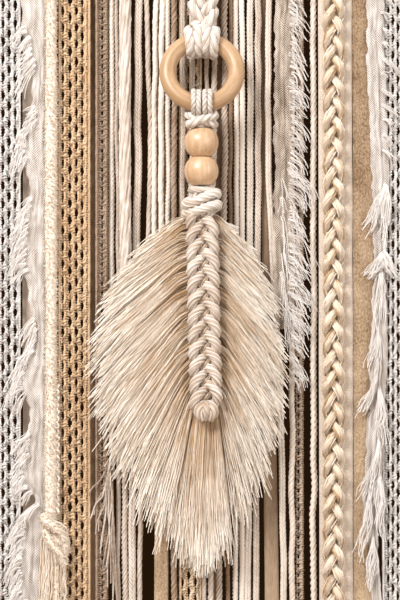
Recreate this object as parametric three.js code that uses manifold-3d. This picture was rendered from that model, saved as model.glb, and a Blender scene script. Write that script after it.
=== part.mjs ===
// The hanging lower part of a dreamcatcher: a macrame feather on a wooden ring, in front of
// strips of crochet lace, torn gauze, ribbon, felt, braid and cord that hang side by side from
// one narrow heading. Millimetres. +Z is up, +X is to the right and -Y is the front.
// The origin is the middle of the top edge, on the front face of the heading.

import * as THREE from "three";
import { mergeVertices } from "three/addons/utils/BufferGeometryUtils.js";
import Module from "manifold-3d";

const wasm = await Module();
wasm.setup();

// Driving dimensions

const PANEL_LENGTH = 430; // top edge to the lowest strip ends
const PANEL_LEFT = -127;
const PANEL_RIGHT = 126;

const HEADING_HEIGHT = 8;
const HEADING_DEPTH = 3;

const LACE_THICKNESS = 1.2;
const CLOTH_THICKNESS = 1;
const FRONT_Y = -0.3; // the back face of a strip that hangs in front of the heading
const BACK_Y = 3.3; // the front face of a strip that hangs behind it
const SWAY = 1.6; // how far the front strips swing forwards at half their length

const RING_OUTER_RADIUS = 25;
const RING_SECTION_RADIUS = 4.9;
const RING_TILT = THREE.MathUtils.degToRad(18); // its top leans back
const RING_CENTRE = new THREE.Vector3(0, -17.5, -78.5);

const BEAD_DIAMETER = 20;
const BEAD_HEIGHT = 16.4;
const BEAD_BORE_RADIUS = 3.9;
const BEAD_TOP_Z = -111.7;
const BEAD_GAP = 0.3;
const PENDANT_Y = -21; // the pendant's own middle plane, below the ring

const CORD_RADIUS = 2.8; // the macrame cord of the pendant
const SPINE_TOP_Z = -169.2;
const SPINE_ROWS = 11;
const SPINE_PITCH = 9.6;
const SPINE_HALF_WIDTH = 10.3;
const PENDANT_LEAN = { startZ: -145, endZ: -283, start: -0.4, end: 2.6 };

const BRAID_PITCH = 9; // of the flat braid that carries the ring

const materials = {
  whiteLace: ["#d9d2cd", 0.95],
  tanLace: ["#d2b48f", 0.95],
  greigeLace: ["#a58f7b", 0.95],
  gauze: ["#e4dbd4", 0.95],
  chenille: ["#f1e4d4", 0.95],
  cotton: ["#dcccbc", 0.9],
  yarn: ["#e2d1ba", 0.95],
  roving: ["#ece2d9", 0.95],
  ivoryRibbon: ["#d6c6b6", 0.85],
  greigeRibbon: ["#a08b78", 0.8],
  felt: ["#c0a585", 0.98],
  fringe: ["#dcc9b4", 0.9],
  wood: ["#e3c096", 0.5],
};

// Geometry helpers

const vector = (x, y, z) => new THREE.Vector3(x, y, z);

const mix = (a, b, t) => a + (b - a) * t;

const sway = (z) => (SWAY / 2) * (1 - Math.cos((2 * Math.PI * z) / PANEL_LENGTH));

// The value at z of a table's column, smooth between its rows, which run downwards.
function column(rows, key, z) {
  const last = rows.length - 1;
  if (z >= rows[0].z) return rows[0][key];
  if (z <= rows[last].z) return rows[last][key];
  const i = rows.findIndex((row) => row.z < z) - 1;
  const t = (rows[i].z - z) / (rows[i].z - rows[i + 1].z);
  return mix(rows[i][key], rows[i + 1][key], t * t * (3 - 2 * t));
}

function closedGeometry(points, triangles) {
  let volume = 0;
  for (const [a, b, c] of triangles) volume += points[a].dot(points[b].clone().cross(points[c]));
  const facing = volume < 0 ? triangles.map(([a, b, c]) => [a, c, b]) : triangles;
  return new THREE.BufferGeometry()
    .setFromPoints(points)
    .setIndex(facing.flat());
}

// A closed solid through rings of equally many points, with a fan across each end.
function loft(rings) {
  const sides = rings[0].length;
  const triangles = [];
  for (let i = 0; i + 1 < rings.length; i++) {
    for (let j = 0; j < sides; j++) {
      const a = i * sides + j;
      const b = i * sides + ((j + 1) % sides);
      triangles.push([a, b, b + sides], [a, b + sides, a + sides]);
    }
  }
  const end = (rings.length - 1) * sides;
  for (let j = 1; j + 1 < sides; j++) {
    triangles.push([0, j + 1, j], [end, end + j, end + j + 1]);
  }
  return closedGeometry(rings.flat(), triangles);
}

// A solid strand along a path. Its section has the given sides; reach gives its half width
// sideways and its half depth at each share t of the way.
function strand(path, sides, reach, turn = 0) {
  const frame = { across: vector(1, 0, 0) };
  const rings = path.map((point, i) => {
    const next = path[Math.min(i + 1, path.length - 1)];
    const along = next.clone().sub(path[Math.max(i - 1, 0)]).normalize();
    frame.across.addScaledVector(along, -frame.across.dot(along)).normalize();
    const through = along.clone().cross(frame.across);
    const [width, depth] = reach(i / (path.length - 1));
    return Array.from({ length: sides }, (_, j) => {
      const angle = turn + (2 * Math.PI * j) / sides;
      return point
        .clone()
        .addScaledVector(frame.across, width * Math.cos(angle))
        .addScaledVector(through, depth * Math.sin(angle));
    });
  });
  return loft(rings);
}

const roundCord = (radius) => () => [radius, radius];

const smoothPath = (points, steps) =>
  new THREE.CatmullRomCurve3(points, false, "centripetal").getPoints(steps);

// A hanging cloth with ripples: rows of columns + 1 points on its front and back faces.
function cloth(rows, columns, place, thickness) {
  const wide = columns + 1;
  const front = rows.flatMap((row) => Array.from({ length: wide }, (_, j) => place(row, j / columns)));
  const back = front.map((point) => point.clone().setY(point.y + thickness));
  const count = front.length;
  const triangles = [];
  const quad = (a, b, c, d) => triangles.push([a, b, c], [a, c, d]);
  for (let i = 0; i + 1 < rows.length; i++) {
    for (let j = 0; j < columns; j++) {
      const a = i * wide + j;
      quad(a, a + wide, a + wide + 1, a + 1);
      quad(count + a, count + a + 1, count + a + wide + 1, count + a + wide);
    }
    const left = i * wide;
    const right = left + columns;
    quad(left, count + left, count + left + wide, left + wide);
    quad(right, right + wide, count + right + wide, count + right);
  }
  const last = (rows.length - 1) * wide;
  for (let j = 0; j < columns; j++) {
    quad(j, j + 1, count + j + 1, count + j);
    quad(last + j, count + last + j, count + last + j + 1, last + j + 1);
  }
  return closedGeometry([...front, ...back], triangles);
}

function toSolid(geometry) {
  const bare = geometry.clone();
  bare.deleteAttribute("normal");
  bare.deleteAttribute("uv");
  const merged = mergeVertices(bare, 1e-4);
  return new wasm.Manifold(
    new wasm.Mesh({
      numProp: 3,
      vertProperties: merged.attributes.position.array,
      triVerts: new Uint32Array(merged.index.array),
    }),
  );
}

// Joins the solids. Slivers and closed pores that the joining leaves are dropped.
function fuse(geometries) {
  const bodies = wasm.Manifold.union(geometries.map(toSolid)).decompose();
  const largest = bodies.reduce((a, b) => (b.volume() > a.volume() ? b : a));
  const mesh = largest.getMesh();
  return new THREE.BufferGeometry()
    .setAttribute("position", new THREE.BufferAttribute(mesh.vertProperties, 3))
    .setIndex(new THREE.BufferAttribute(mesh.triVerts, 1));
}

const box = (x0, x1, y0, y1, z0, z1) =>
  new THREE.BoxGeometry(x1 - x0, y1 - y0, z1 - z0).translate((x0 + x1) / 2, (y0 + y1) / 2, (z0 + z1) / 2);

const dreamcatcher = new THREE.Group();

function add(name, geometry, finish, place = new THREE.Matrix4()) {
  const [color, roughness] = materials[finish];
  const mesh = new THREE.Mesh(geometry, new THREE.MeshStandardMaterial({ color, roughness, metalness: 0 }));
  mesh.name = name;
  mesh.applyMatrix4(place);
  dreamcatcher.add(mesh);
}

// Heading and hanging strings

// Where each string hangs: its middle at the top, at two heights on the way and at its end.
const UPPER_Z = -124;
const LOWER_Z = -270;
const strings = [
  { top: -53.8, upper: -53.8, lower: -53.8, end: -53.6, y: 1.5, width: 3.6, length: 318 },
  { top: -50.6, upper: -50.4, lower: -49.8, end: -49.5, y: 1.5, width: 2.6, length: 424 },
  { top: -45.9, upper: -45.9, lower: -45.9, end: -46.0, y: 1.6, width: 3.4, length: 430 },
  { top: -38.0, upper: -38.2, lower: -40.6, end: -41.8, y: 1.5, width: 3.5, length: 421 },
  { top: -34.4, upper: -30.9, lower: -34.6, end: -37.8, y: 2.2, width: 2.8, length: 427 },
  { top: -26.9, upper: -28.3, lower: -28.2, end: -28.2, y: 0.9, width: 2.7, length: 316 },
  { top: -23.8, upper: -24.2, lower: -24.0, end: -24.0, y: 1.5, width: 2.9, length: 322 },
  { top: -20.3, upper: -20.3, lower: -20.3, end: -20.3, y: 1.5, width: 2.9, length: 330 },
  { top: -16.5, upper: -16.6, lower: -16.5, end: -16.5, y: 1.5, width: 3.1, length: 424 },
  { top: -11.3, upper: -11.2, lower: -11.4, end: -11.4, y: 1.5, width: 2.6, length: 360 },
  { top: -5.9, upper: -6.0, lower: -6.0, end: -6.0, y: 1.5, width: 3.2, length: 352 },
  { top: 3.2, upper: 3.2, lower: 1.6, end: 1.0, y: 1.5, width: 2.4, length: 418 },
  { top: 7.0, upper: 6.8, lower: 5.6, end: 5.3, y: 1.5, width: 3.2, length: 427 },
  { top: 13.5, upper: 13.4, lower: 11.0, end: 10.0, y: 1.5, width: 3.5, length: 421 },
  { top: 17.0, upper: 17.0, lower: 15.6, end: 15.0, y: 2.1, width: 2.6, length: 430 },
  { top: 20.4, upper: 20.4, lower: 20.1, end: 19.7, y: 1.3, width: 3.0, length: 424 },
  { top: 23.7, upper: 23.7, lower: 23.7, end: 23.6, y: 1.3, width: 3.0, length: 427 },
  { top: 28.8, upper: 28.7, lower: 27.8, end: 27.3, y: 1.5, width: 3.5, length: 421 },
  { top: 33.3, upper: 33.2, lower: 32.3, end: 31.9, y: 1.5, width: 3.3, length: 430 },
  { top: 40.0, upper: 39.4, lower: 46.3, end: 48.8, y: 1.5, width: 3.4, length: 427 },
  { top: 53.4, upper: 53.4, lower: 53.5, end: 53.6, y: 1.6, width: 3.3, length: 424 },
  { top: 66.2, upper: 66.2, lower: 66.2, end: 66.2, y: 1.5, width: 3.5, length: 409 },
];
const FRAYED_STRING = 0; // the row of the string that ends in loose yarns
const STRING_SIDES = 4;
const STRING_STEPS = 4;
const SQUARE_REACH = 0.62; // a square section's corner over its string's width

function stringPath(row) {
  const points = [
    vector(row.top, row.y, -1),
    vector(row.upper, row.y, UPPER_Z),
    vector(row.lower, row.y, LOWER_Z),
    vector(row.end, row.y, -row.length),
  ];
  return smoothPath(points, STRING_STEPS);
}

// The loose yarns fan out from just inside the end of their string: how far they reach to each
// side, and how far the shortest and the longest hang.
const LOOSE_YARNS = { count: 7, left: -10.5, right: 5.5, shortest: 24, longest: 84, uneven: 6, inside: 3 };

function frayedEnd(row) {
  const { count, left, right, shortest, longest, uneven, inside } = LOOSE_YARNS;
  const root = vector(row.end, row.y, -row.length + inside);
  return Array.from({ length: count }, (_, i) => {
    const spread = mix(left, right, i / (count - 1));
    const drop = mix(shortest, longest, (i + 1) / count) + uneven * (i % 2);
    const elbow = root.clone().add(vector(spread * 0.45, -0.8, -drop * 0.4));
    const tip = root.clone().add(vector(spread, -1.2, -drop));
    return strand([root, elbow, tip], 3, (t) => [mix(0.8, 0.45, t), mix(0.7, 0.4, t)]);
  });
}

function stringCurtain() {
  const heading = box(PANEL_LEFT, PANEL_RIGHT, 0, HEADING_DEPTH, -HEADING_HEIGHT, 0);
  const hanging = strings.map((row) =>
    strand(stringPath(row), STRING_SIDES, roundCord(row.width * SQUARE_REACH), Math.PI / STRING_SIDES),
  );
  return fuse([heading, ...hanging, ...frayedEnd(strings[FRAYED_STRING])]);
}

add("string_curtain", stringCurtain(), "cotton");

// Crochet lace

const LACE_ROW = 10.3; // from one hole to the next, down a column
const HOLE_HEIGHT = 5.4;
const HOLE_WIDTH = 2.6;

// Each strip is a flat band that sways gently away from the heading. eyelets is how far its
// column of cut holes lies from its middle, and behind hangs it at the back of the heading.
const laces = [
  { name: "white_lace_left", finish: "whiteLace", x: -116.8, width: 20.4, length: 427, eyelets: 2.3 },
  { name: "tan_lace_left", finish: "tanLace", x: -74.8, width: 18.8, length: 424, eyelets: -2.6 },
  { name: "greige_lace_left", finish: "greigeLace", x: -59.4, width: 8.4, length: 405 },
  { name: "tan_lace_centre", finish: "tanLace", x: -8.3, width: 11.6, length: 421, behind: true },
  { name: "white_lace_right", finish: "whiteLace", x: 115.9, width: 19.8, length: 427, eyelets: -2.4 },
];
const FIRST_HOLE = 16; // below the top edge
const LACE_STEPS = 8;

function eyelet(x, z) {
  const w = HOLE_WIDTH / 2;
  const h = HOLE_HEIGHT / 2;
  return new THREE.Path([
    new THREE.Vector2(x, z + h),
    new THREE.Vector2(x - w, z),
    new THREE.Vector2(x, z - h),
    new THREE.Vector2(x + w, z),
  ]);
}

function laceBand({ x, width, length, eyelets, behind }) {
  const heights = Array.from({ length: LACE_STEPS + 1 }, (_, i) => (-length * i) / LACE_STEPS);
  const right = heights.map((z) => new THREE.Vector2(width / 2, z));
  const left = heights.toReversed().map((z) => new THREE.Vector2(-width / 2, z));
  const shape = new THREE.Shape([...right, ...left]);
  const lastHole = eyelets === undefined ? 0 : length - LACE_ROW;
  for (let z = FIRST_HOLE; z < lastHole; z += LACE_ROW) shape.holes.push(eyelet(eyelets, -z));
  const extrusion = { depth: LACE_THICKNESS, bevelEnabled: false, steps: 1 };
  const geometry = new THREE.ExtrudeGeometry(shape, extrusion);
  geometry.rotateX(Math.PI / 2).translate(x, behind ? BACK_Y + LACE_THICKNESS : FRONT_Y, 0);
  const place = geometry.attributes.position;
  const swing = behind ? 1 : -1;
  for (let i = 0; i < place.count; i++) place.setY(i, place.getY(i) + swing * sway(place.getZ(i)));
  return geometry;
}

for (const lace of laces) add(lace.name, laceBand(lace), lace.finish);

// Ribbons and felt

// Flat bands that hang plainly behind the heading, or in front of it. top and end are where
// each has its middle, and turn is how many degrees it twists on its way down.
const ribbons = [
  {
    name: "greige_ribbon_left",
    finish: "greigeRibbon",
    place: { top: -101.7, end: -101.2, topWidth: 10.6, endWidth: 10.6, length: 421 },
    turn: 8,
  },
  {
    name: "shadow_ribbon_left",
    finish: "greigeRibbon",
    place: { top: -63.8, end: -64.6, topWidth: 7, endWidth: 6, length: 418 },
    turn: 10,
  },
  {
    name: "felt_ribbon_centre",
    finish: "felt",
    place: { top: -23.4, end: -24.4, topWidth: 6.6, endWidth: 8.6, length: 427 },
  },
  {
    name: "shadow_ribbon_centre",
    finish: "greigeRibbon",
    place: { top: 10.4, end: 8.6, topWidth: 5, endWidth: 5, length: 421 },
  },
  {
    name: "satin_ribbon_right",
    finish: "greigeRibbon",
    place: { top: 36.9, end: 42, topWidth: 4.6, endWidth: 9, length: 427 },
  },
  {
    name: "knit_tape_right",
    finish: "greigeRibbon",
    place: { top: 58.2, end: 58.6, topWidth: 5.6, endWidth: 5.2, length: 424 },
  },
  {
    name: "ivory_ribbon_right",
    finish: "ivoryRibbon",
    place: { top: 78.6, end: 79.6, topWidth: 20, endWidth: 20, length: 427 },
    front: true,
  },
  {
    name: "felt_ribbon_right",
    finish: "felt",
    place: { top: 95.9, end: 96.6, topWidth: 12.8, endWidth: 12, length: 424 },
    front: true,
  },
];
const RIBBON_STEPS = 7;

function ribbonBand({ front = false, turn = 0, place: { top, end, topWidth, endWidth, length } }) {
  const rows = Array.from({ length: RIBBON_STEPS + 1 }, (_, i) => i / RIBBON_STEPS);
  const pointAt = (t, across) => {
    const reach = (across - 0.5) * mix(topWidth, endWidth, t);
    const angle = THREE.MathUtils.degToRad(turn) * Math.sin(2 * Math.PI * t);
    const x = mix(top, end, t) + reach * Math.cos(angle);
    if (front) return vector(x, FRONT_Y - CLOTH_THICKNESS - sway(length * t), -length * t);
    return vector(x, BACK_Y + Math.abs(reach * Math.sin(angle)) + sway(2 * length * t), -length * t);
  };
  return cloth(rows, 1, pointAt, CLOTH_THICKNESS);
}

for (const ribbon of ribbons) add(ribbon.name, ribbonBand(ribbon), ribbon.finish);

// Torn gauze

// Each row is a height where the torn outline or a fold changes; fold is its rise forwards.
const gauzeLeft = [
  { z: 0, left: -107.6, right: -94.4, fold: 0.2 },
  { z: -52, left: -107.4, right: -94.2, fold: 0.8 },
  { z: -58, left: -103.8, right: -94.2, fold: 1.2 },
  { z: -80, left: -101.6, right: -94.4, fold: 1 },
  { z: -104, left: -100.4, right: -94.4, fold: 0.6 },
  { z: -113, left: -108.2, right: -94.2, fold: 1.4 },
  { z: -126, left: -107, right: -94.2, fold: 1 },
  { z: -144, left: -101.6, right: -94.4, fold: 0.8 },
  { z: -164, left: -105.6, right: -94.6, fold: 1.2 },
  { z: -190, left: -107, right: -94.4, fold: 1.4 },
  { z: -206, left: -101.8, right: -94.4, fold: 0.8 },
  { z: -232, left: -101, right: -94, fold: 1 },
  { z: -262, left: -108.6, right: -94.4, fold: 1.5 },
  { z: -276, left: -102.4, right: -94.6, fold: 1 },
  { z: -300, left: -105.4, right: -94.8, fold: 1 },
  { z: -318, left: -109.4, right: -95, fold: 1.4 },
  { z: -330, left: -98.6, right: -95.2, fold: 0.6 },
  { z: -340, left: -107.6, right: -95.4, fold: 1.2 },
  { z: -376, left: -110, right: -95.8, fold: 1.5 },
  { z: -400, left: -104, right: -96, fold: 1 },
];
const gauzeMiddle = [
  { z: 0, left: 42.6, right: 53.6, fold: 0.2 },
  { z: -30, left: 42.4, right: 55.2, fold: 0.9 },
  { z: -56, left: 42.6, right: 53.4, fold: 1.2 },
  { z: -92, left: 42.8, right: 53, fold: 1.2 },
  { z: -130, left: 42.6, right: 54.2, fold: 1.4 },
  { z: -150, left: 42.4, right: 55.4, fold: 1 },
  { z: -176, left: 41.6, right: 53.6, fold: 1.2 },
  { z: -206, left: 41.4, right: 54, fold: 1.4 },
  { z: -230, left: 43.4, right: 52.4, fold: 1 },
];
const gauzeRight = [
  { z: 0, left: 97.4, right: 108.4, fold: 0.2 },
  { z: -50, left: 97, right: 107.6, fold: 1 },
  { z: -96, left: 98.6, right: 109.2, fold: 1.4 },
  { z: -124, left: 99.2, right: 110.6, fold: 1.2 },
  { z: -150, left: 101.4, right: 110.6, fold: 1 },
  { z: -196, left: 101, right: 108.4, fold: 1.4 },
  { z: -240, left: 99.6, right: 109.6, fold: 1.2 },
  { z: -276, left: 98.4, right: 108, fold: 1 },
  { z: -300, left: 96.6, right: 107, fold: 1.4 },
  { z: -330, left: 95, right: 105.2, fold: 1.2 },
  { z: -354, left: 98.6, right: 104, fold: 1 },
  { z: -392, left: 100, right: 106, fold: 0.8 },
];
const PIECE_GAP = 0.3; // between touching pieces
const OVER_LACE_Y = FRONT_Y - LACE_THICKNESS - PIECE_GAP - CLOTH_THICKNESS;
const OVER_STRINGS_Y = FRONT_Y - CLOTH_THICKNESS;

function gauzeBand(rows, frontY) {
  const place = ({ z, left, right, fold }, across) =>
    vector(mix(left, right, across), frontY - sway(z) - fold * Math.sin(3 * Math.PI * across) ** 2, z);
  return cloth(rows, 4, place, CLOTH_THICKNESS);
}

add("torn_gauze_left", gauzeBand(gauzeLeft, OVER_LACE_Y), "gauze");
add("torn_gauze_middle", gauzeBand(gauzeMiddle, OVER_STRINGS_Y), "gauze");
add("torn_gauze_right", gauzeBand(gauzeRight, OVER_LACE_Y), "gauze");

// Frayed threads hang from a narrow strip that lies just in front of the torn edge.
// reach is how far they stand out sideways, drop how far they hang.
const frays = [
  { name: "middle", x: 52, from: -22, to: -218, count: 17, reach: 9, drop: 9, y: OVER_STRINGS_Y },
  { name: "right", x: 102.2, from: -150, to: -282, count: 11, reach: -7.4, drop: 21, y: OVER_LACE_Y },
];
const FRAY_STRIP_WIDTH = 1.6;
const FRAY_STRIP_STEPS = 8;
const FRAY_CLEARANCE = 2.1; // over the highest fold of the gauze
const FIRST_LOCK = 1.5; // from each end of the strip

function frayedEdge({ x, from, to, count, reach, drop, y }) {
  const frontY = (z) => y - FRAY_CLEARANCE - CLOTH_THICKNESS / 2 - sway(z);
  const half = FRAY_STRIP_WIDTH / 2;
  const stripRows = Array.from({ length: FRAY_STRIP_STEPS + 1 }, (_, i) =>
    mix(from, to, i / FRAY_STRIP_STEPS),
  );
  const place = (z, across) => vector(x + mix(-half, half, across), frontY(z), z);
  const locks = Array.from({ length: count }, (_, i) => {
    const z = mix(from - FIRST_LOCK, to + FIRST_LOCK, i / (count - 1));
    const uneven = 0.85 + 0.15 * Math.sin(i * 2.4);
    const root = vector(x, frontY(z) + CLOTH_THICKNESS / 2, z);
    const elbow = root.clone().add(vector(reach * 0.6 * uneven, -0.2, -drop * 0.35 * uneven));
    const tip = root.clone().add(vector(reach * uneven, 0.2, -drop * uneven));
    return strand([root, elbow, tip], 3, (t) => [mix(0.7, 0.35, t), mix(0.42, 0.3, t)]);
  });
  return fuse([cloth(stripRows, 1, place, CLOTH_THICKNESS), ...locks]);
}

for (const fray of frays) add(`frayed_threads_${fray.name}`, frayedEdge(fray), "gauze");

// Thick yarn strips

// The fuzzy tube knotted near its end, where its loose pile yarns hang on.
const chenilleRows = [
  { z: 0, width: 6.6 },
  { z: -70, width: 6.8 },
  { z: -90, width: 8.4 },
  { z: -180, width: 8.6 },
  { z: -215, width: 6.8 },
  { z: -270, width: 8.4 },
  { z: -316, width: 9 },
  { z: -339, width: 8.2 },
];
const CHENILLE_X = -89.2;
const CHENILLE_DEPTH = 6;
const CHENILLE_Y = FRONT_Y - 0.1 - CHENILLE_DEPTH / 2;
const CHENILLE_KNOT = { z: -346, steps: 8, turns: 0.95, halfWidth: 4.6, halfDepth: 2, radius: 2.2 };
const PILE_YARNS = { count: 10, left: -3.2, right: 5, waistZ: -368, endZ: -424, uneven: 7 };

function chenilleTube() {
  const path = chenilleRows.map(({ z }) => vector(CHENILLE_X, CHENILLE_Y, z));
  path.push(vector(CHENILLE_X, CHENILLE_Y, CHENILLE_KNOT.z - 4));
  const body = strand(path, 6, (t) => {
    const row = chenilleRows[Math.min(Math.round(t * chenilleRows.length), chenilleRows.length - 1)];
    return [row.width / 2, CHENILLE_DEPTH / 2];
  });
  const { z, steps, turns, halfWidth, halfDepth, radius } = CHENILLE_KNOT;
  const knot = Array.from({ length: steps + 1 }, (_, i) => {
    const angle = (i / steps) * turns * 2 * Math.PI;
    return vector(
      CHENILLE_X + 1.2 + halfWidth * Math.cos(angle),
      CHENILLE_Y - 3.4 + halfDepth * Math.sin(angle),
      z + 2 - (4 * i) / steps,
    );
  });
  const { count, left, right, waistZ, endZ, uneven } = PILE_YARNS;
  const tail = Array.from({ length: count }, (_, i) => {
    const across = mix(left, right, i / (count - 1));
    const depth = CHENILLE_Y - 1.6 + 1.2 * Math.sin(i * 2.1);
    const root = vector(CHENILLE_X + across * 0.55, depth, z - 1);
    const waist = vector(CHENILLE_X + across * 1.1, depth, waistZ);
    const tip = vector(CHENILLE_X + across * 1.25 - 1, depth, endZ + uneven * Math.sin(i * 1.7) ** 2);
    return strand([root, waist, tip], 4, (t) => [mix(0.7, 0.45, t), mix(0.7, 0.45, t)]);
  });
  return fuse([body, strand(knot, 5, roundCord(radius)), ...tail]);
}

add("chenille_strip", chenilleTube(), "chenille");

const ROVING = { x: -45.4, y: -3.1, halfWidth: 3.7, halfDepth: 2.7, length: 311 };

function roving() {
  const path = smoothPath(
    [
      vector(ROVING.x, ROVING.y, 0),
      vector(ROVING.x - 0.2, ROVING.y, -140),
      vector(ROVING.x + 0.5, ROVING.y, -230),
      vector(ROVING.x, ROVING.y, -ROVING.length),
    ],
    8,
  );
  return strand(path, 8, () => [ROVING.halfWidth, ROVING.halfDepth]);
}

add("soft_roving", roving(), "roving");

// Three thick yarns plaited: each swings from side to side, a third of a turn behind the last,
// and passes over and under the others.
const PLAIT = {
  x: 77.6,
  y: -5.3,
  sideways: 4.6,
  forwards: 3.5,
  halfWidth: 2.1,
  halfDepth: 1.5,
  period: 36,
  top: 1.8,
  length: 421,
  stepsAPeriod: 6,
};

function plaitYarn(index) {
  const { x, y, sideways, forwards, halfWidth, halfDepth, period, top, length, stepsAPeriod } = PLAIT;
  const steps = Math.round(((length - top) / period) * stepsAPeriod);
  const path = Array.from({ length: steps + 1 }, (_, i) => {
    const z = mix(-top, -length, i / steps);
    const phase = 2 * Math.PI * (z / period + index / 3 + 0.5 / stepsAPeriod);
    return vector(x + sideways * Math.sin(phase), y - sway(z) + forwards * Math.sin(2 * phase), z);
  });
  return strand(path, 4, () => [halfWidth, halfDepth]);
}

for (const index of [0, 1, 2]) add(`plait_yarn_${index + 1}`, plaitYarn(index), "yarn");

// Pendant

const leanAt = (z) => {
  const { startZ, endZ, start, end } = PENDANT_LEAN;
  return mix(start, end, THREE.MathUtils.clamp((z - startZ) / (endZ - startZ), 0, 1));
};

// A point on a circle round the ring's section, at an angle along the ring.
function ringPoint(along, around, reach) {
  const middle = RING_OUTER_RADIUS - RING_SECTION_RADIUS;
  const outwards = middle + reach * Math.cos(around);
  const flat = vector(outwards * Math.cos(along), reach * Math.sin(around), outwards * Math.sin(along));
  return flat.applyAxisAngle(vector(1, 0, 0), -RING_TILT).add(RING_CENTRE);
}

function woodenRing() {
  const aroundSteps = 9;
  const section = Array.from({ length: aroundSteps }, (_, i) => (2 * Math.PI * i) / aroundSteps).map(
    (angle) =>
      new THREE.Vector2(
        RING_OUTER_RADIUS - RING_SECTION_RADIUS + RING_SECTION_RADIUS * Math.cos(angle),
        RING_SECTION_RADIUS * Math.sin(angle),
      ),
  );
  return new THREE.LatheGeometry([...section, section[0]], 28);
}

const ringPlace = new THREE.Matrix4()
  .makeTranslation(RING_CENTRE)
  .multiply(new THREE.Matrix4().makeRotationX(-RING_TILT));
add("wooden_ring", woodenRing(), "wood", ringPlace);

function bead() {
  const steps = 6;
  const flat = BEAD_HEIGHT / 2;
  const most = Math.asin(flat / (BEAD_DIAMETER / 2));
  const outer = Array.from({ length: steps + 1 }, (_, i) => {
    const angle = mix(-most, most, i / steps);
    return new THREE.Vector2((BEAD_DIAMETER / 2) * Math.cos(angle), (BEAD_DIAMETER / 2) * Math.sin(angle));
  });
  const bore = [new THREE.Vector2(BEAD_BORE_RADIUS, flat), new THREE.Vector2(BEAD_BORE_RADIUS, -flat)];
  return new THREE.LatheGeometry([...outer, ...bore, outer[0]], 18).rotateX(Math.PI / 2);
}

for (const index of [0, 1]) {
  const z = BEAD_TOP_Z - BEAD_HEIGHT / 2 - index * (BEAD_HEIGHT + BEAD_GAP);
  add(`wooden_bead_${index + 1}`, bead(), "wood", new THREE.Matrix4().makeTranslation(-0.4, PENDANT_Y, z));
}

// One lobe of a knotted cord, mirrored by side, that hooks over the middle and turns away.
// Its points are given as outwards, backwards and upwards from the row's own centre.
function lobe(shape, side, centre, radius, steps = 3) {
  const points = shape.map(([out, back, up]) => centre.clone().add(vector(side * out, back, up)));
  return strand(smoothPath(points, steps), 5, roundCord(radius), Math.PI / 5);
}

// The spine: each row's two cords come up from behind, cross the middle and fall outwards.
const SPINE_LOBE = [
  [-2.6, 1.4, 1.4],
  [0.6, -2.4, 0.6],
  [3.8, -4.2, -2],
  [6.6, -3.4, -6.2],
  [SPINE_HALF_WIDTH - CORD_RADIUS, -0.6, -9.6],
  [6.2, 2, -11.4],
];
const SPINE_STAGGER = 0.4; // how far the right lobes sit above the left ones, in rows

function spine() {
  const solids = [];
  for (let row = 0; row < SPINE_ROWS; row++) {
    for (const side of [-1, 1]) {
      const z = SPINE_TOP_Z - SPINE_PITCH * (row + (side < 0 ? SPINE_STAGGER / 2 : -SPINE_STAGGER / 2));
      solids.push(lobe(SPINE_LOBE, side, vector(leanAt(z), PENDANT_Y, z), CORD_RADIUS));
    }
  }
  const endZ = SPINE_TOP_Z - SPINE_PITCH * SPINE_ROWS - 2;
  for (const side of [-1, 1]) {
    const curl = [
      [0.4, 2, 1],
      [1.6, -3, 0.6],
      [5.6, -4.6, -1],
      [5.8, -2.6, -6.4],
      [1.8, 0.6, -6.6],
    ];
    solids.push(lobe(curl, side, vector(leanAt(endZ), PENDANT_Y, endZ), CORD_RADIUS));
  }
  return fuse(solids);
}

add("spine_knots", spine(), "cotton");

// A flat loop of cord round the pendant's neck, which stops just short of its own start.
function collar({ z, halfWidth, halfDepth, radius, rise }) {
  const steps = 10;
  const turns = 0.99;
  const path = Array.from({ length: steps + 1 }, (_, i) => {
    const angle = Math.PI / 2 + (i / steps) * turns * 2 * Math.PI;
    return vector(
      leanAt(z) + halfWidth * Math.cos(angle),
      PENDANT_Y + halfDepth * Math.sin(angle),
      z + rise * (i / steps - 0.5),
    );
  });
  return strand(path, 5, roundCord(radius));
}

const neck = [
  { z: -147.5, halfWidth: 6.4, halfDepth: 3.6, radius: 2, rise: 0 },
  { z: -152.8, halfWidth: 8.9, halfDepth: 4.6, radius: 3.1, rise: 1.6 },
  { z: -159, halfWidth: 9.2, halfDepth: 4.6, radius: 3.1, rise: 1.4 },
];
const NECK_BUNDLE = { top: -145.2, bottom: -163.2, halfWidth: 7, halfDepth: 4 };

// The wraps bind the bundle of cords that runs down from the beads.
function neckWraps() {
  const { top, bottom, halfWidth, halfDepth } = NECK_BUNDLE;
  const ends = [top, bottom].map((z) => vector(leanAt(z), PENDANT_Y, z));
  const bundle = strand(ends, 8, () => [halfWidth, halfDepth]);
  return fuse([bundle, ...neck.map(collar)]);
}

add("neck_wraps", neckWraps(), "cotton");

// The knot over the beads, the two loops that hold it on the ring, and the cords it sends
// down through both beads.
const LOOP_REACH = RING_SECTION_RADIUS + 0.7 + CORD_RADIUS;
const LOOP_ANGLE = 0.155; // of each loop from the ring's lowest point
const RING_BOTTOM = -Math.PI / 2;
const RING_TOP = Math.PI / 2;
const UPPER_KNOT_Z = -107;

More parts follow.
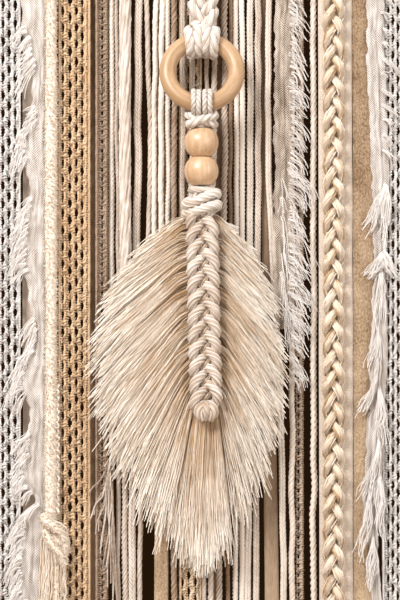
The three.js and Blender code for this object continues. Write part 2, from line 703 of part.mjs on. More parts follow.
function upperKnot() {
  const loops = [-LOOP_ANGLE, LOOP_ANGLE].flatMap((offset) => {
    const into = vector(offset * 20, PENDANT_Y, UPPER_KNOT_Z + 2);
    return [0, 1].map((half) => {
      const round = Array.from({ length: 5 }, (_, i) =>
        ringPoint(RING_BOTTOM + offset, mix(0.12, 1.02, i / 4) * Math.PI * (half ? 1 : -1), LOOP_REACH),
      );
      return strand([into, ...round], 5, roundCord(CORD_RADIUS));
    });
  });
  const cross = [
    [-7.2, 1.5, -2.4],
    [-4, -3.6, -2],
    [0, -4.6, 0.2],
    [5.6, -3.2, 2.4],
    [7, 0.6, 1.8],
    [5.4, 3, -0.6],
  ];
  const middle = [UPPER_KNOT_Z + 4, BEAD_TOP_Z + 0.3].map((z) => vector(-0.2, PENDANT_Y, z));
  const inside = strand(middle, 8, () => [6, 4.2]);
  const bars = [-1, 1].map((side) => lobe(cross, side, vector(-0.2, PENDANT_Y, UPPER_KNOT_Z), 2.4, 5));
  const coreEnd = BEAD_TOP_Z - 2 * BEAD_HEIGHT - BEAD_GAP;
  const core = strand(
    [vector(-0.4, PENDANT_Y, UPPER_KNOT_Z + 1), vector(-0.4, PENDANT_Y, coreEnd)],
    8,
    roundCord(BEAD_BORE_RADIUS - 0.4),
  );
  return fuse([...loops, ...bars, inside, core]);
}

add("upper_knot", upperKnot(), "cotton");

// The flat braid and the hitch of four loops that it ends in, over the top of the ring.
const BRAID_LOBE = [
  [9.2 - CORD_RADIUS, 2.2, 4.4],
  [8.4 - CORD_RADIUS + 0.6, -1.8, 2.4],
  [4.2, -3.2, -1.4],
  [1.2, -2.4, -5],
  [-1.6, 1.6, -6.4],
];
const BRAID_TOP = vector(0.8, -4.4, -7.3);
const BRAID_END = vector(0.6, -11.3, -46);
const HITCH = { radius: 2.5, clearance: 0.4, angles: [-0.39, -0.13, 0.13, 0.39], wrap: 0.86 };

function hangingBraid() {
  const solids = [];
  const rows = Math.floor((BRAID_TOP.z - BRAID_END.z) / BRAID_PITCH);
  for (let row = 0; row <= rows; row++) {
    for (const side of [-1, 1]) {
      const t = (row + (side < 0 ? 0 : 0.5)) / (rows + 0.5);
      solids.push(lobe(BRAID_LOBE, side, BRAID_TOP.clone().lerp(BRAID_END, t), CORD_RADIUS - 0.2));
    }
  }
  const { radius, clearance, angles, wrap } = HITCH;
  const steps = 7;
  const reach = RING_SECTION_RADIUS + clearance + radius;
  for (const offset of angles) {
    const round = Array.from({ length: steps + 1 }, (_, i) =>
      ringPoint(RING_TOP - offset, mix(-wrap, wrap, i / steps) * Math.PI, reach),
    );
    solids.push(strand(round, 5, roundCord(radius)));
  }
  const shoulder = [
    [0, 0, 0],
    [3, -1, -2.6],
    [6.4, -1.6, -5.4],
  ];
  for (const side of [-1, 1]) solids.push(lobe(shoulder, side, BRAID_END, 2.6, 3));
  return fuse(solids);
}

add("hanging_braid", hangingBraid(), "cotton");

// The feather's combed fringe

// From the top of the spine down: how far the cut ends reach sideways and hang below their root.
const featherRows = [
  { z: -164, left: 28, leftDrop: 11, right: 20, rightDrop: 9 },
  { z: -176, left: 49, leftDrop: 20, right: 36, rightDrop: 17 },
  { z: -193, left: 62, leftDrop: 25, right: 44, rightDrop: 21 },
  { z: -212, left: 65, leftDrop: 36, right: 48, rightDrop: 30 },
  { z: -230, left: 63, leftDrop: 47, right: 48.5, rightDrop: 38 },
  { z: -246, left: 55, leftDrop: 59, right: 46, rightDrop: 47 },
  { z: -259, left: 41, leftDrop: 72, right: 38, rightDrop: 58 },
  { z: -270, left: 26, leftDrop: 83, right: 27, rightDrop: 74 },
  { z: -278, left: 12, leftDrop: 90, right: 13, rightDrop: 87 },
];
const FRINGE_LAYERS = [
  { y: -15.5, count: 24, phase: 0, share: 1, stops: [0, 0.22, 0.55, 1] },
  { y: -12.3, count: 23, phase: 0.5, share: 0.97, stops: [0, 0.35, 1] },
];
const FRINGE_ROOT_X = 6;
const FRINGE_CURVE = 1.3; // above 1, a lock leaves the spine sideways before it falls
const FRINGE_BACKING = { inner: 0.3, outer: 7.6, front: -16.8, back: -11.2, top: -165, bottom: -279 };

function fringeLock(side, z, layer, index) {
  const key = side < 0 ? "left" : "right";
  const axis = leanAt(z);
  const reach = (column(featherRows, key, z) + axis * side * -1) * layer.share;
  const drop = column(featherRows, `${key}Drop`, z) * layer.share * (1 + 0.03 * Math.sin(index * 2.7));
  const path = layer.stops.map((t) => {
    const out = mix(FRINGE_ROOT_X, reach, 1 - (1 - t) ** FRINGE_CURVE);
    const down = drop * t ** FRINGE_CURVE;
    const settle = 1.6 * Math.sin(Math.PI * Math.min(t * 1.2, 1)) - 1.2 * t;
    return vector(axis + side * out, layer.y - settle, z - down);
  });
  return strand(path, 3, (t) => [mix(1.15, 0.9, t), mix(1, 0.55, t)]);
}

function featherSide(side) {
  const { inner, outer, front, back, top, bottom } = FRINGE_BACKING;
  const steps = 4;
  const rows = Array.from({ length: steps + 1 }, (_, i) => mix(top, bottom, i / steps));
  const edges = side < 0 ? [outer, inner] : [inner, outer];
  const place = (z, across) => vector(leanAt(z) + side * mix(...edges, across), front, z);
  const backing = cloth(rows, 1, place, back - front);
  const first = featherRows[0].z - 2;
  const last = featherRows.at(-1).z;
  const locks = FRINGE_LAYERS.flatMap((layer) =>
    Array.from({ length: layer.count }, (_, i) =>
      fringeLock(side, mix(first, last, (i + layer.phase) / (layer.count - 0.5)), layer, i),
    ),
  );
  return fuse([backing, ...locks]);
}

add("feather_fringe_left", featherSide(-1), "fringe");
add("feather_fringe_right", featherSide(1), "fringe");

// The tassel below the last knot closes the feather's tip.
const TIP = { halfWidth: 5.4, head: 7.7, count: 9, root: 4.2, spread: 12.5, length: 97, rounding: 12 };

function featherTip() {
  const z = FRINGE_BACKING.bottom - 1;
  const x = leanAt(z);
  const { front, back } = FRINGE_BACKING;
  const headTop = z - 0.3;
  const head = box(x - TIP.halfWidth, x + TIP.halfWidth, front + 0.4, back, headTop - TIP.head, headTop);
  const rootZ = z - 6;
  const locks = FRINGE_LAYERS.flatMap((layer, k) =>
    Array.from({ length: TIP.count - k }, (_, i) => {
      const across = mix(-1, 1, (i + k / 2) / (TIP.count - 1));
      const endZ = z - TIP.length + TIP.rounding * across ** 2 - 2 * Math.sin(i * 2.2);
      const path = [0, 0.3, 1].map((t) =>
        vector(x + across * mix(TIP.root, TIP.spread, t) - 1.5 * t, layer.y - 0.8 * t, mix(rootZ, endZ, t)),
      );
      return strand(path, 3, (t) => [mix(1.1, 0.9, t), mix(1, 0.55, t)]);
    }),
  );
  return fuse([head, ...locks]);
}

add("feather_fringe_tip", featherTip(), "fringe");

export default dreamcatcher;
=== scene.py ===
# %% [markdown]
# # A dreamcatcher's tail with a macrame feather
#
# The real thing is a curtain of narrow strips: crochet lace, torn gauze, felt, ribbon, a plait,
# a chenille cord and some two dozen cotton strings. In front of them hangs a feather: cords
# knotted on to a spine and combed out into fine threads, under two beads and a wooden ring.
# The solids of all of that are already in the frame, so each cell below dresses one family of
# them, and every finished piece stays where its solid is.

# %% Frame and the box of the solids
import math
from collections import namedtuple
from functools import partial

import bmesh
import bpy
import numpy as np
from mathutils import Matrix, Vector


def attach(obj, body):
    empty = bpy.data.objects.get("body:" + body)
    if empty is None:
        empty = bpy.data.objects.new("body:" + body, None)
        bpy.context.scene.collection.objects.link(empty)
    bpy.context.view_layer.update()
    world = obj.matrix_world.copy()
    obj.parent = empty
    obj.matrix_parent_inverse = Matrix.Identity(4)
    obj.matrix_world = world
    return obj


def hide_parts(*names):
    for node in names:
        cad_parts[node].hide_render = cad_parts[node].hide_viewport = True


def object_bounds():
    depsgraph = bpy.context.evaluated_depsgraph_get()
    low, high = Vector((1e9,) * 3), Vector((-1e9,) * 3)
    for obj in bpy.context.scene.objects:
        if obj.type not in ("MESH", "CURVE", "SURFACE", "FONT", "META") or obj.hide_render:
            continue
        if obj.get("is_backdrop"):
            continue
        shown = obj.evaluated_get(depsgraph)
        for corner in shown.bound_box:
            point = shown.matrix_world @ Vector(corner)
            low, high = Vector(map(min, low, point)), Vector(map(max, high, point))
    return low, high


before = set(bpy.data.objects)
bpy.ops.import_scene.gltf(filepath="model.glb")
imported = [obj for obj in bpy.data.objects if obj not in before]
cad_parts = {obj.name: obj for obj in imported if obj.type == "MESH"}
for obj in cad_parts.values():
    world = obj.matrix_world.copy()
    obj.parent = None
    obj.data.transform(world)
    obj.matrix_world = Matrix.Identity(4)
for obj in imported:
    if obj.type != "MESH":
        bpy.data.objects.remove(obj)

CAD_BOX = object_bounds()
MM = 0.001
print("solids:", len(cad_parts), "box in metres:", CAD_BOX)

# %% [markdown]
# Colours are written as sRGB hex values, the way a colour chart gives them. Shaders work in
# linear light, so one function turns the first into the second.

# %% Colours
def linear(code):
    parts = [int(code[i:i + 2], 16) / 255 for i in (1, 3, 5)]
    return [v / 12.92 if v <= 0.04045 else ((v + 0.055) / 1.055) ** 2.4 for v in parts] + [1.0]


print("cream in linear light:", [round(v, 3) for v in linear("#e8dccf")])

# %% [markdown]
# Node trees for shaders and for geometry are built in the same way: make a node, set its
# options, then give each input a value or a link. One helper does all three, so that nearly
# every line of a tree below reads as one node. Each tree binds itself to it under the name add.

# %% One helper for every node
def socket(sockets, key):
    """A socket in use, by its place, its identifier or its name."""
    used = [item for item in sockets if item.enabled]
    if isinstance(key, int):
        return used[key]
    return next(item for kind in ("identifier", "name") for item in used if getattr(item, kind) == key)


def node(tree, kind, *inputs, **settings):
    """Add a node. Its inputs are values in the sockets' order, or one dictionary by name."""
    made = tree.nodes.new(kind)
    for key, value in settings.items():
        setattr(made, key, value)
    named = inputs[0] if inputs and isinstance(inputs[0], dict) else dict(enumerate(inputs))
    for key, value in named.items():
        target = socket(made.inputs, key)
        if isinstance(value, bpy.types.Node):
            value = socket(value.outputs, 0)
        if isinstance(value, bpy.types.NodeSocket):
            tree.links.new(value, target)
        else:
            target.default_value = value
    return made


print("node helper ready")

# %% [markdown]
# A Geometry Nodes tree needs named inputs, so that its sizes can be read and changed from
# outside. `grow` then puts the tree on an object, sets each input by its socket's identifier,
# and turns the result into a plain mesh without the modifier.

# %% Trees and how they are applied
KINDS = {float: "NodeSocketFloat", int: "NodeSocketInt", str: "NodeSocketMaterial"}


def new_tree(name, **inputs):
    tree = bpy.data.node_groups.new(name, "GeometryNodeTree")
    tree.interface.new_socket("Geometry", in_out="INPUT", socket_type="NodeSocketGeometry")
    for key, value in inputs.items():
        item = tree.interface.new_socket(key, in_out="INPUT", socket_type=KINDS[type(value)])
        if not isinstance(value, str):
            item.default_value = value
    tree.interface.new_socket("Geometry", in_out="OUTPUT", socket_type="NodeSocketGeometry")
    add = partial(node, tree)
    return tree, add, add("NodeGroupInput").outputs


def close_tree(add, given, result):
    smooth = add("GeometryNodeSetShadeSmooth", result)
    real = add("GeometryNodeRealizeInstances", smooth)
    dressed = add("GeometryNodeSetMaterial", {"Geometry": real, "Material": given["material"]})
    add("NodeGroupOutput", dressed)


def put(name, mesh):
    piece = bpy.data.objects.new(name, mesh)
    bpy.context.scene.collection.objects.link(piece)
    return piece


def grow(name, mesh, tree, **values):
    source = put(name + ".source", mesh)
    modifier = source.modifiers.new("grow", "NODES")
    modifier.node_group = tree
    for item in tree.interface.items_tree:
        if item.in_out == "INPUT" and item.name in values:
            modifier[item.identifier] = values[item.name]
    depsgraph = bpy.context.evaluated_depsgraph_get()
    result = bpy.data.meshes.new_from_object(source.evaluated_get(depsgraph))
    bpy.data.objects.remove(source)
    result.name = name
    print(f"{name}: {sum(len(face.vertices) - 2 for face in result.polygons)} triangles")
    return put(name, result)

# %% [markdown]
# Every cord, yarn and thread starts as a bare line of points. `lines_mesh` joins many lines in
# one mesh of edges, and stores on each point what the trees need to know about its line: how
# thick it is there, in how many metres it makes one turn of twist, and how pale it is. Lines are
# given in millimetres: `cord` describes one that is swept whole, `wisp` one that is combed open.

# %% Lines of points
def lines_mesh(name, lines):
    points, edges, data = [], [], {}
    for line in lines:
        first = len(points)
        path = np.asarray(line["path"], dtype=float) * MM
        points.extend(path)
        edges.extend((first + i, first + i + 1) for i in range(len(path) - 1))
        for key, value in line.items():
            if key != "path":
                data.setdefault(key, []).extend(np.broadcast_to(value, len(path)))
    mesh = bpy.data.meshes.new(name)
    mesh.from_pydata([tuple(point) for point in points], edges, [])
    for key, values in data.items():
        mesh.attributes.new(key, "FLOAT", "POINT").data.foreach_set("value", values)
    return mesh


def cord(path, radius, turn, **more):
    """A line for a cord: its radius, and the length in which it turns once, in millimetres."""
    return {"path": path, "thick": radius * MM, "turn": turn * MM} | more


def wisp(path, fan, depth, **more):
    """A line for a wisp: how wide and how deep it is at its root and at its tip."""
    sizes = zip(("root_fan", "tip_fan", "root_depth", "tip_depth"), (*fan, *depth))
    return {"path": path} | {key: size * MM for key, size in sizes} | more


def smooth_line(points, steps=6):
    """A Catmull-Rom curve through the points."""
    p = np.asarray(points, dtype=float)
    p = np.vstack([2 * p[0] - p[1], p, 2 * p[-1] - p[-2]])
    t = np.linspace(0, 1, steps, endpoint=False)[:, None]
    parts = []
    for a, b, c, d in zip(p, p[1:], p[2:], p[3:]):
        bend = 2 * a - 5 * b + 4 * c - d
        parts.append(0.5 * (2 * b + (c - a) * t + bend * t**2 + (3 * b - a - 3 * c + d) * t**3))
    return np.vstack(parts + [p[-2][None]])


def table(columns, *rows):
    """Rows that start with a height, as dictionaries."""
    return [dict(zip(["z", *columns.split()], row)) for row in rows]


def ease(z, rows, key):
    """The value of a table's column at height z, smooth between its rows."""
    heights = np.array([row["z"] for row in rows], dtype=float)
    values = np.array([row[key] for row in rows], dtype=float)
    z = np.clip(z, heights[-1], heights[0])
    i = np.clip(np.searchsorted(-heights, -np.asarray(z)) - 1, 0, len(rows) - 2)
    t = (heights[i] - z) / (heights[i] - heights[i + 1])
    return values[i] + (values[i + 1] - values[i]) * t * t * (3 - 2 * t)


PANEL_LENGTH = 430
SWAY = 1.6


def sway(z):
    """The strips' gentle swing forwards, the same as in their solids."""
    return SWAY / 2 * (1 - np.cos(2 * np.pi * np.asarray(z) / PANEL_LENGTH))


print("sway half way down, in mm:", round(float(sway(-PANEL_LENGTH / 2)), 2))

# %% [markdown]
# ## The plied cord
#
# String is twisted from plies, so its section is not round but lobed, and the lobes run round it
# like the thread of a screw. The tree sweeps a lobed ring along each line and tilts it as it
# goes. A second, finer set of lobes stands for the fibres in each ply. The height of the ring's
# wall is kept as the attribute `crest`, so that a material can paint shade into the grooves.
# `section` and `along` keep where a point lies on the ring and on the line, for fibres that
# follow the twist.

# %% Tree: plied cord
def plied_cord_tree():
    tree, add, given = new_tree(
        "plied cord", plies=3, ply_depth=0.25, fibres=1, fibre_depth=0.0, step=0.0015,
        profile_points=12, fuzz=0.0, fuzz_scale=900.0, material="")
    curve = add("GeometryNodeMeshToCurve", given["Geometry"])
    soft = add("GeometryNodeCurveSplineType", curve, spline_type="CATMULL_ROM")
    fine = add("GeometryNodeResampleCurve", {"Curve": soft, "Length": given["step"]}, mode="LENGTH")
    length = add("GeometryNodeSplineParameter").outputs["Length"]
    turns = add("ShaderNodeMath", length, add("GeometryNodeInputNamedAttribute", "turn"), operation="DIVIDE")
    tilt = add("ShaderNodeMath", turns, 2 * math.pi, operation="MULTIPLY")
    twisted = add("GeometryNodeSetCurveTilt", {"Curve": fine, "Tilt": tilt})
    metres = {"Geometry": twisted, "Name": "along", "Value": length}
    measured = add("GeometryNodeStoreNamedAttribute", metres)

    ring_size = {"Resolution": given["profile_points"], "Radius": 1.0}
    bare_ring = add("GeometryNodeCurvePrimitiveCircle", ring_size)
    place = add("GeometryNodeInputPosition")
    section = {"Geometry": bare_ring, "Name": "section", "Value": place}
    ring = add("GeometryNodeStoreNamedAttribute", section, data_type="FLOAT_VECTOR")
    share = add("GeometryNodeSplineParameter").outputs["Factor"]
    both = add("ShaderNodeMath", given["plies"], given["fibres"], operation="MULTIPLY")
    grooves = []
    for count, depth in ((given["plies"], given["ply_depth"]), (both, given["fibre_depth"])):
        angle = add("ShaderNodeMath", share, count, operation="MULTIPLY")
        half = add("ShaderNodeMath", angle, math.pi, operation="MULTIPLY")
        wave = add("ShaderNodeMath", half, operation="COSINE")
        lobe = add("ShaderNodeMath", wave, operation="ABSOLUTE")
        low = add("ShaderNodeMath", 1.0, lobe, operation="SUBTRACT")
        grooves.append(add("ShaderNodeMath", low, depth, operation="MULTIPLY"))
    groove = add("ShaderNodeMath", *grooves, operation="ADD")
    reach = add("ShaderNodeMath", 1.0, groove, operation="SUBTRACT")
    spot = add("ShaderNodeVectorMath", place, reach, operation="SCALE")
    shaped = add("GeometryNodeSetPosition", {"Geometry": ring, "Position": spot})
    profile = add("GeometryNodeStoreNamedAttribute", {"Geometry": shaped, "Name": "crest", "Value": reach})

    thick = add("GeometryNodeInputNamedAttribute", "thick")
    sweep = {"Curve": measured, "Profile Curve": profile, "Scale": thick, "Fill Caps": True}
    swept = add("GeometryNodeCurveToMesh", sweep)
    noise = add("ShaderNodeTexNoise", {"Scale": given["fuzz_scale"], "Detail": 1.0})
    swing = add("ShaderNodeMath", noise, 0.5, operation="SUBTRACT")
    push = add("ShaderNodeMath", swing, given["fuzz"], operation="MULTIPLY")
    offset = add("ShaderNodeVectorMath", add("GeometryNodeInputNormal"), push, operation="SCALE")
    close_tree(add, given, add("GeometryNodeSetPosition", {"Geometry": swept, "Offset": offset}))
    return tree


PLIED_CORD = plied_cord_tree()
print("tree:", PLIED_CORD.name)

# %% [markdown]
# ## Combed threads
#
# A combed lock of cotton starts as one cord and opens into a flat fan of fine threads. The tree
# copies each guide line many times, cuts the copies to uneven lengths and moves each sideways
# and in depth, a little at the root and more towards the tip. A wave that grows along the thread
# keeps it from looking drawn with a ruler.

# %% Tree: combed threads
def combed_threads_tree():
    tree, add, given = new_tree(
        "combed threads", threads=60, thread_radius=0.0003, points=7, uneven=0.1,
        wave=0.001, wave_scale=60.0, seed=1, material="")
    curve = add("GeometryNodeMeshToCurve", given["Geometry"])
    soft = add("GeometryNodeCurveSplineType", curve, spline_type="CATMULL_ROM")
    copies = {"Geometry": soft, "Amount": given["threads"]}
    geometry = add("GeometryNodeDuplicateElements", copies, domain="SPLINE").outputs["Geometry"]
    drawn = {}
    for offset, (name, low) in enumerate({"across": -1.0, "deep": -1.0, "tone": 0.0, "end": 0.0}.items()):
        seed = add("ShaderNodeMath", given["seed"], float(offset), operation="ADD")
        value = add("FunctionNodeRandomValue", {"Min": low, "Max": 1.0, "Seed": seed})
        stored = {"Geometry": geometry, "Name": name, "Value": value}
        geometry = add("GeometryNodeStoreNamedAttribute", stored, domain="CURVE")
        drawn[name] = add("GeometryNodeInputNamedAttribute", name)
    lost = add("ShaderNodeMath", drawn["end"], given["uneven"], operation="MULTIPLY")
    kept = add("ShaderNodeMath", 1.0, lost, operation="SUBTRACT")
    trimmed = add("GeometryNodeTrimCurve", {"Curve": geometry, "End": kept})
    fine = add("GeometryNodeResampleCurve", {"Curve": trimmed, "Count": given["points"]}, mode="COUNT")

    share = add("GeometryNodeSplineParameter").outputs["Factor"]
    tangent = add("GeometryNodeInputTangent")
    side = add("ShaderNodeVectorMath", tangent, (0, 1, 0), operation="CROSS_PRODUCT")
    moves = []
    for direction, draw, name in ((side, "across", "fan"), ((0, 1, 0), "deep", "depth")):
        root, tip = (add("GeometryNodeInputNamedAttribute", end + name) for end in ("root_", "tip_"))
        width = add("ShaderNodeMapRange", {"Value": share, "To Min": root, "To Max": tip})
        reach = add("ShaderNodeMath", width, drawn[draw], operation="MULTIPLY")
        moves.append(add("ShaderNodeVectorMath", direction, reach, operation="SCALE"))
    spread = add("ShaderNodeVectorMath", *moves, operation="ADD")
    lane = add("ShaderNodeMath", drawn["end"], 50.0, operation="MULTIPLY")
    noise_at = {"W": lane, "Scale": given["wave_scale"], "Detail": 1.0}
    noise = add("ShaderNodeTexNoise", noise_at, noise_dimensions="4D").outputs["Color"]
    swing = add("ShaderNodeVectorMath", noise, (0.5, 0.5, 0.5), operation="SUBTRACT")
    growing = add("ShaderNodeMath", share, given["wave"], operation="MULTIPLY")
    wave = add("ShaderNodeVectorMath", swing, growing, operation="SCALE")
    offset = add("ShaderNodeVectorMath", spread, wave, operation="ADD")
    placed = add("GeometryNodeSetPosition", {"Geometry": fine, "Offset": offset})
    marked = add("GeometryNodeStoreNamedAttribute", {"Geometry": placed, "Name": "tip", "Value": share})
    ring = add("GeometryNodeCurvePrimitiveCircle", {"Resolution": 3, "Radius": 1.0})
    sweep = {"Curve": marked, "Profile Curve": ring, "Scale": given["thread_radius"], "Fill Caps": True}
    close_tree(add, given, add("GeometryNodeCurveToMesh", sweep))
    return tree


COMBED_THREADS = combed_threads_tree()
print("tree:", COMBED_THREADS.name)

# %% [markdown]
# ## Fibre materials
#
# Cotton and wool are matte, and the grooves between their fibres lie in shade. Here that shade is
# painted, so the grooves are warm and dark and only the crests are pale. One function mixes a dark
# and a light colour by several things added up: fine streaks along the fibres, slow blotches of
# dye, the height of the cord's wall, which paints shade into the grooves, the tone of a single
# thread, its distance from the root, which paints shade near the root, and on some cloths the
# height on the strip, which makes them darker towards the top. Every scale is in millimetres.

# %% Noise and grain
# Cords that lie side by side must not match, so their grain drifts a little with their place.
DRIFT = 0.12


def new_material(name):
    material = bpy.data.materials.new(name)
    material.use_nodes = True
    material.node_tree.nodes.clear()
    return material, partial(node, material.node_tree)


def noise_in_mm(add, size, detail=2.0, warp=0.0):
    """Noise whose spots measure size, given in millimetres along X, Y and Z."""
    place = add("ShaderNodeTexCoord").outputs["Object"]
    scaled = add("ShaderNodeMapping", {"Vector": place, "Scale": tuple(1 / (MM * each) for each in size)})
    return add("ShaderNodeTexNoise", {"Vector": scaled, "Scale": 1.0, "Detail": detail, "Distortion": warp})


def how_low(add):
    """0 at the top edge and 1 at the lower ends, so that a strip is darker towards its top."""
    place = add("ShaderNodeSeparateXYZ", add("ShaderNodeTexCoord").outputs["Object"])
    return add("ShaderNodeMapRange", place.outputs["Z"], 0.0, -PANEL_LENGTH * MM)


def cloth_grain(*size):
    """Streaks that lie in a cloth, sized in millimetres along X, Y and Z."""
    return lambda add: noise_in_mm(add, size)


def cord_grain(around, length):
    """Fibres that follow a cord's twist: so many round it, each so many millimetres long."""

    def build(add):
        section = add("ShaderNodeAttribute", attribute_name="section").outputs["Vector"]
        place = add("ShaderNodeTexCoord").outputs["Object"]
        drift = add("ShaderNodeVectorMath", place, DRIFT / MM, operation="SCALE")
        ring = add("ShaderNodeVectorMath", section, (around / 4,) * 3, drift, operation="MULTIPLY_ADD")
        along = add("ShaderNodeAttribute", attribute_name="along").outputs["Fac"]
        lift = add("ShaderNodeMath", along, 1 / (length * MM), operation="MULTIPLY")
        spot = add("ShaderNodeVectorMath", ring, add("ShaderNodeCombineXYZ", {"Z": lift}), operation="ADD")
        return add("ShaderNodeTexNoise", {"Vector": spot, "Scale": 1.0, "Detail": 2.0})

    return build


print("grain follows the cloth, or the twist of a cord")

# %% The fibre material
BLOTCH_SIZE = (14, 14, 22)
# A source lies round its middle: 0.5, but for the crest, which is near 1 on most of a cord's wall.
CREST_MIDDLE = 0.9


def add_up(add, level, parts):
    """level plus each source times its weight."""
    for source, weight in parts:
        level = add("ShaderNodeMath", source, weight, level, operation="MULTIPLY_ADD")
    return level


def two_tone(add, level, dark, light, finish):
    """End a material with a shader between two colours. finish sets its other sockets."""
    colour = add("ShaderNodeMix", level, linear(dark), linear(light), data_type="RGBA")
    add("ShaderNodeOutputMaterial", add("ShaderNodeBsdfPrincipled", {"Base Color": colour} | finish))


def fibre(name, dark, light, grain, streak=0.9, blotch=0.5, rough=0.9, sheen=0.2, bump=0.4,
          height=0.25, **stored):
    """A matte yarn, cloth or tuft. streak, blotch and stored weigh what makes it pale."""
    material, add = new_material(name)
    streaks = grain(add)
    parts = [(streaks, streak), (noise_in_mm(add, BLOTCH_SIZE, 1.0), blotch)]
    # A weight on crest paints shade into a cord's grooves, and one on tip paints shade near a thread's root.
    for key, weight in stored.items():
        kept = add("ShaderNodeAttribute", attribute_name=key).outputs["Fac"] if key != "low" else how_low(add)
        parts.append((kept, weight))
    middle = 0.5 * (streak + blotch)
    middle += sum((CREST_MIDDLE if key == "crest" else 0.5) * stored[key] for key in stored)
    relief = add("ShaderNodeBump", {"Height": streaks, "Strength": bump, "Distance": height * MM})
    two_tone(add, add_up(add, 0.5 - middle, parts), dark, light, {
        "Roughness": rough, "Specular IOR Level": 0.2, "Sheen Weight": sheen, "Sheen Roughness": 0.5,
        "Normal": relief})
    return material


print("blotches of dye:", BLOTCH_SIZE, "mm")

# %% Yarns, cloths and tufts
# Cotton string: the weight on crest paints shade into the grooves of the twist.
COTTON_STRING = fibre("twisted cotton string", "#8a6b4e", "#eee3d8", cord_grain(12, 4),
                      crest=2.0, shade=1.1, streak=1.3, bump=0.7, height=0.3)
# Macrame cord is softer and creamier, with fine filaments in each ply and deep painted shade in its grooves.
MACRAME_CORD = fibre("combed macrame cord", "#a8917a", "#fbf7f3", cord_grain(15, 7),
                     crest=3.2, streak=1.7, shade=0.9, bump=1.0, height=0.6)
# Brushed wool-like yarn of the plait, with warm painted shade in its folds.
PLAIT_YARN = fibre("brushed plait yarn", "#c2a37c", "#f8efe3", cord_grain(15, 6),
                   crest=1.6, streak=1.8, bump=0.9, height=0.6)
PLAIT_FILAMENT = fibre("loose plait filaments", "#c0a078", "#fbf3e6", cloth_grain(0.8, 0.8, 4.0),
                       tone=1.3, bump=0.1)
# Roving: painted shade in the grooves between its strands.
ROVING = fibre("untwisted cotton roving", "#a8937f", "#f3ece6", cord_grain(14, 4),
               crest=1.5, streak=1.6, bump=0.9, height=0.6)
# Crochet and knitting cotton: five materials, each with painted shade in the grooves of its yarn.
# The cream one is the tan cotton made creamier and painted paler, as light, for the strip that
# hangs back in shade. The greige one is greige, painted darker still as shade where it hangs in
# shadow.
WHITE_LACE, TAN_LACE, CREAM_LACE, GREIGE_LACE, KNIT_YARN = (
    fibre(name, dark, light, cord_grain(12, 3), crest=crest) for name, dark, light, crest in (
        ("white crochet cotton", "#d8cfc9", "#ffffff", 1.4),
        ("tan crochet cotton", "#c8925a", "#ffebcb", 1.4),
        ("cream crochet cotton", "#dcae7a", "#fff8e6", 1.4),
        ("greige crochet cotton", "#7c614b", "#d0b79f", 1.6),
        ("pale greige knitted yarn", "#9a7c60", "#e8d7c6", 1.6)))
# Combed fringe: each thread has its own tone. It is painted darker towards its root and paler
# towards its cut end: painted shade where the threads crowd at the spine.
COMBED = fibre("combed cotton threads", "#bc986c", "#fff9f0", cloth_grain(0.6, 0.6, 5.0),
               tone=0.65, tip=0.8, shade=0.25, streak=0.7, sheen=0.3, bump=0.1)
FRAYED = fibre("frayed gauze threads", "#e6ddd6", "#ffffff", cloth_grain(0.5, 0.5, 3.0), tone=0.7)
CHENILLE = fibre("cream chenille pile", "#d6bd9f", "#fbf4ea", cloth_grain(0.7, 0.7, 0.9),
                 streak=1.0, tone=0.6, bump=0.8, height=0.5, sheen=0.3)
# Pressed and woven cloths: the streaks are short, as nap or weft is.
# The felt is darker towards its top.
TAN_FELT = fibre("tan wool felt", "#755b42", "#c2ab8f", cloth_grain(0.9, 0.9, 1.4),
                 streak=1.7, blotch=0.8, low=0.5, rough=1.0, bump=0.9, height=0.5)
IVORY_TAPE = fibre("ivory terry tape", "#b09a83", "#f6ece1", cloth_grain(0.6, 0.6, 0.6),
                   streak=1.3, blotch=0.2, bump=0.9, height=0.5)
PALE_RIBBON = fibre("pale greige satin ribbon", "#a08c7a", "#ded0c3", cloth_grain(3.0, 3.0, 0.35),
                    streak=0.6, rough=0.55, sheen=0.3, bump=0.15)
# The narrow ribbons that hang back between the others: greige cloth painted dark brown, as shade, and darker
# still towards the top, as painted shade too.
PAINTED_SHADE_RIBBON = fibre("greige ribbon in painted shade", "#5a432f", "#b39c84", cloth_grain(0.7, 0.7, 5.0),
                     streak=0.8, low=0.7, rough=0.8, sheen=0.4, bump=0.2)
print("fibre materials:", len(bpy.data.materials))

# %% [markdown]
# ## Sheer gauze
#
# Cotton gauze is a loose weave, so light passes through the small holes between its threads.
# The holes are drawn as dots on a slanting lattice, the product of two crossed waves: where that
# product is high there is no thread, and the cloth is transparent there. Slow noise makes the
# weave denser in some places, and a soft crinkle catches the light.

# %% The gauze material
WEAVE_DRIFT = 3 * MM


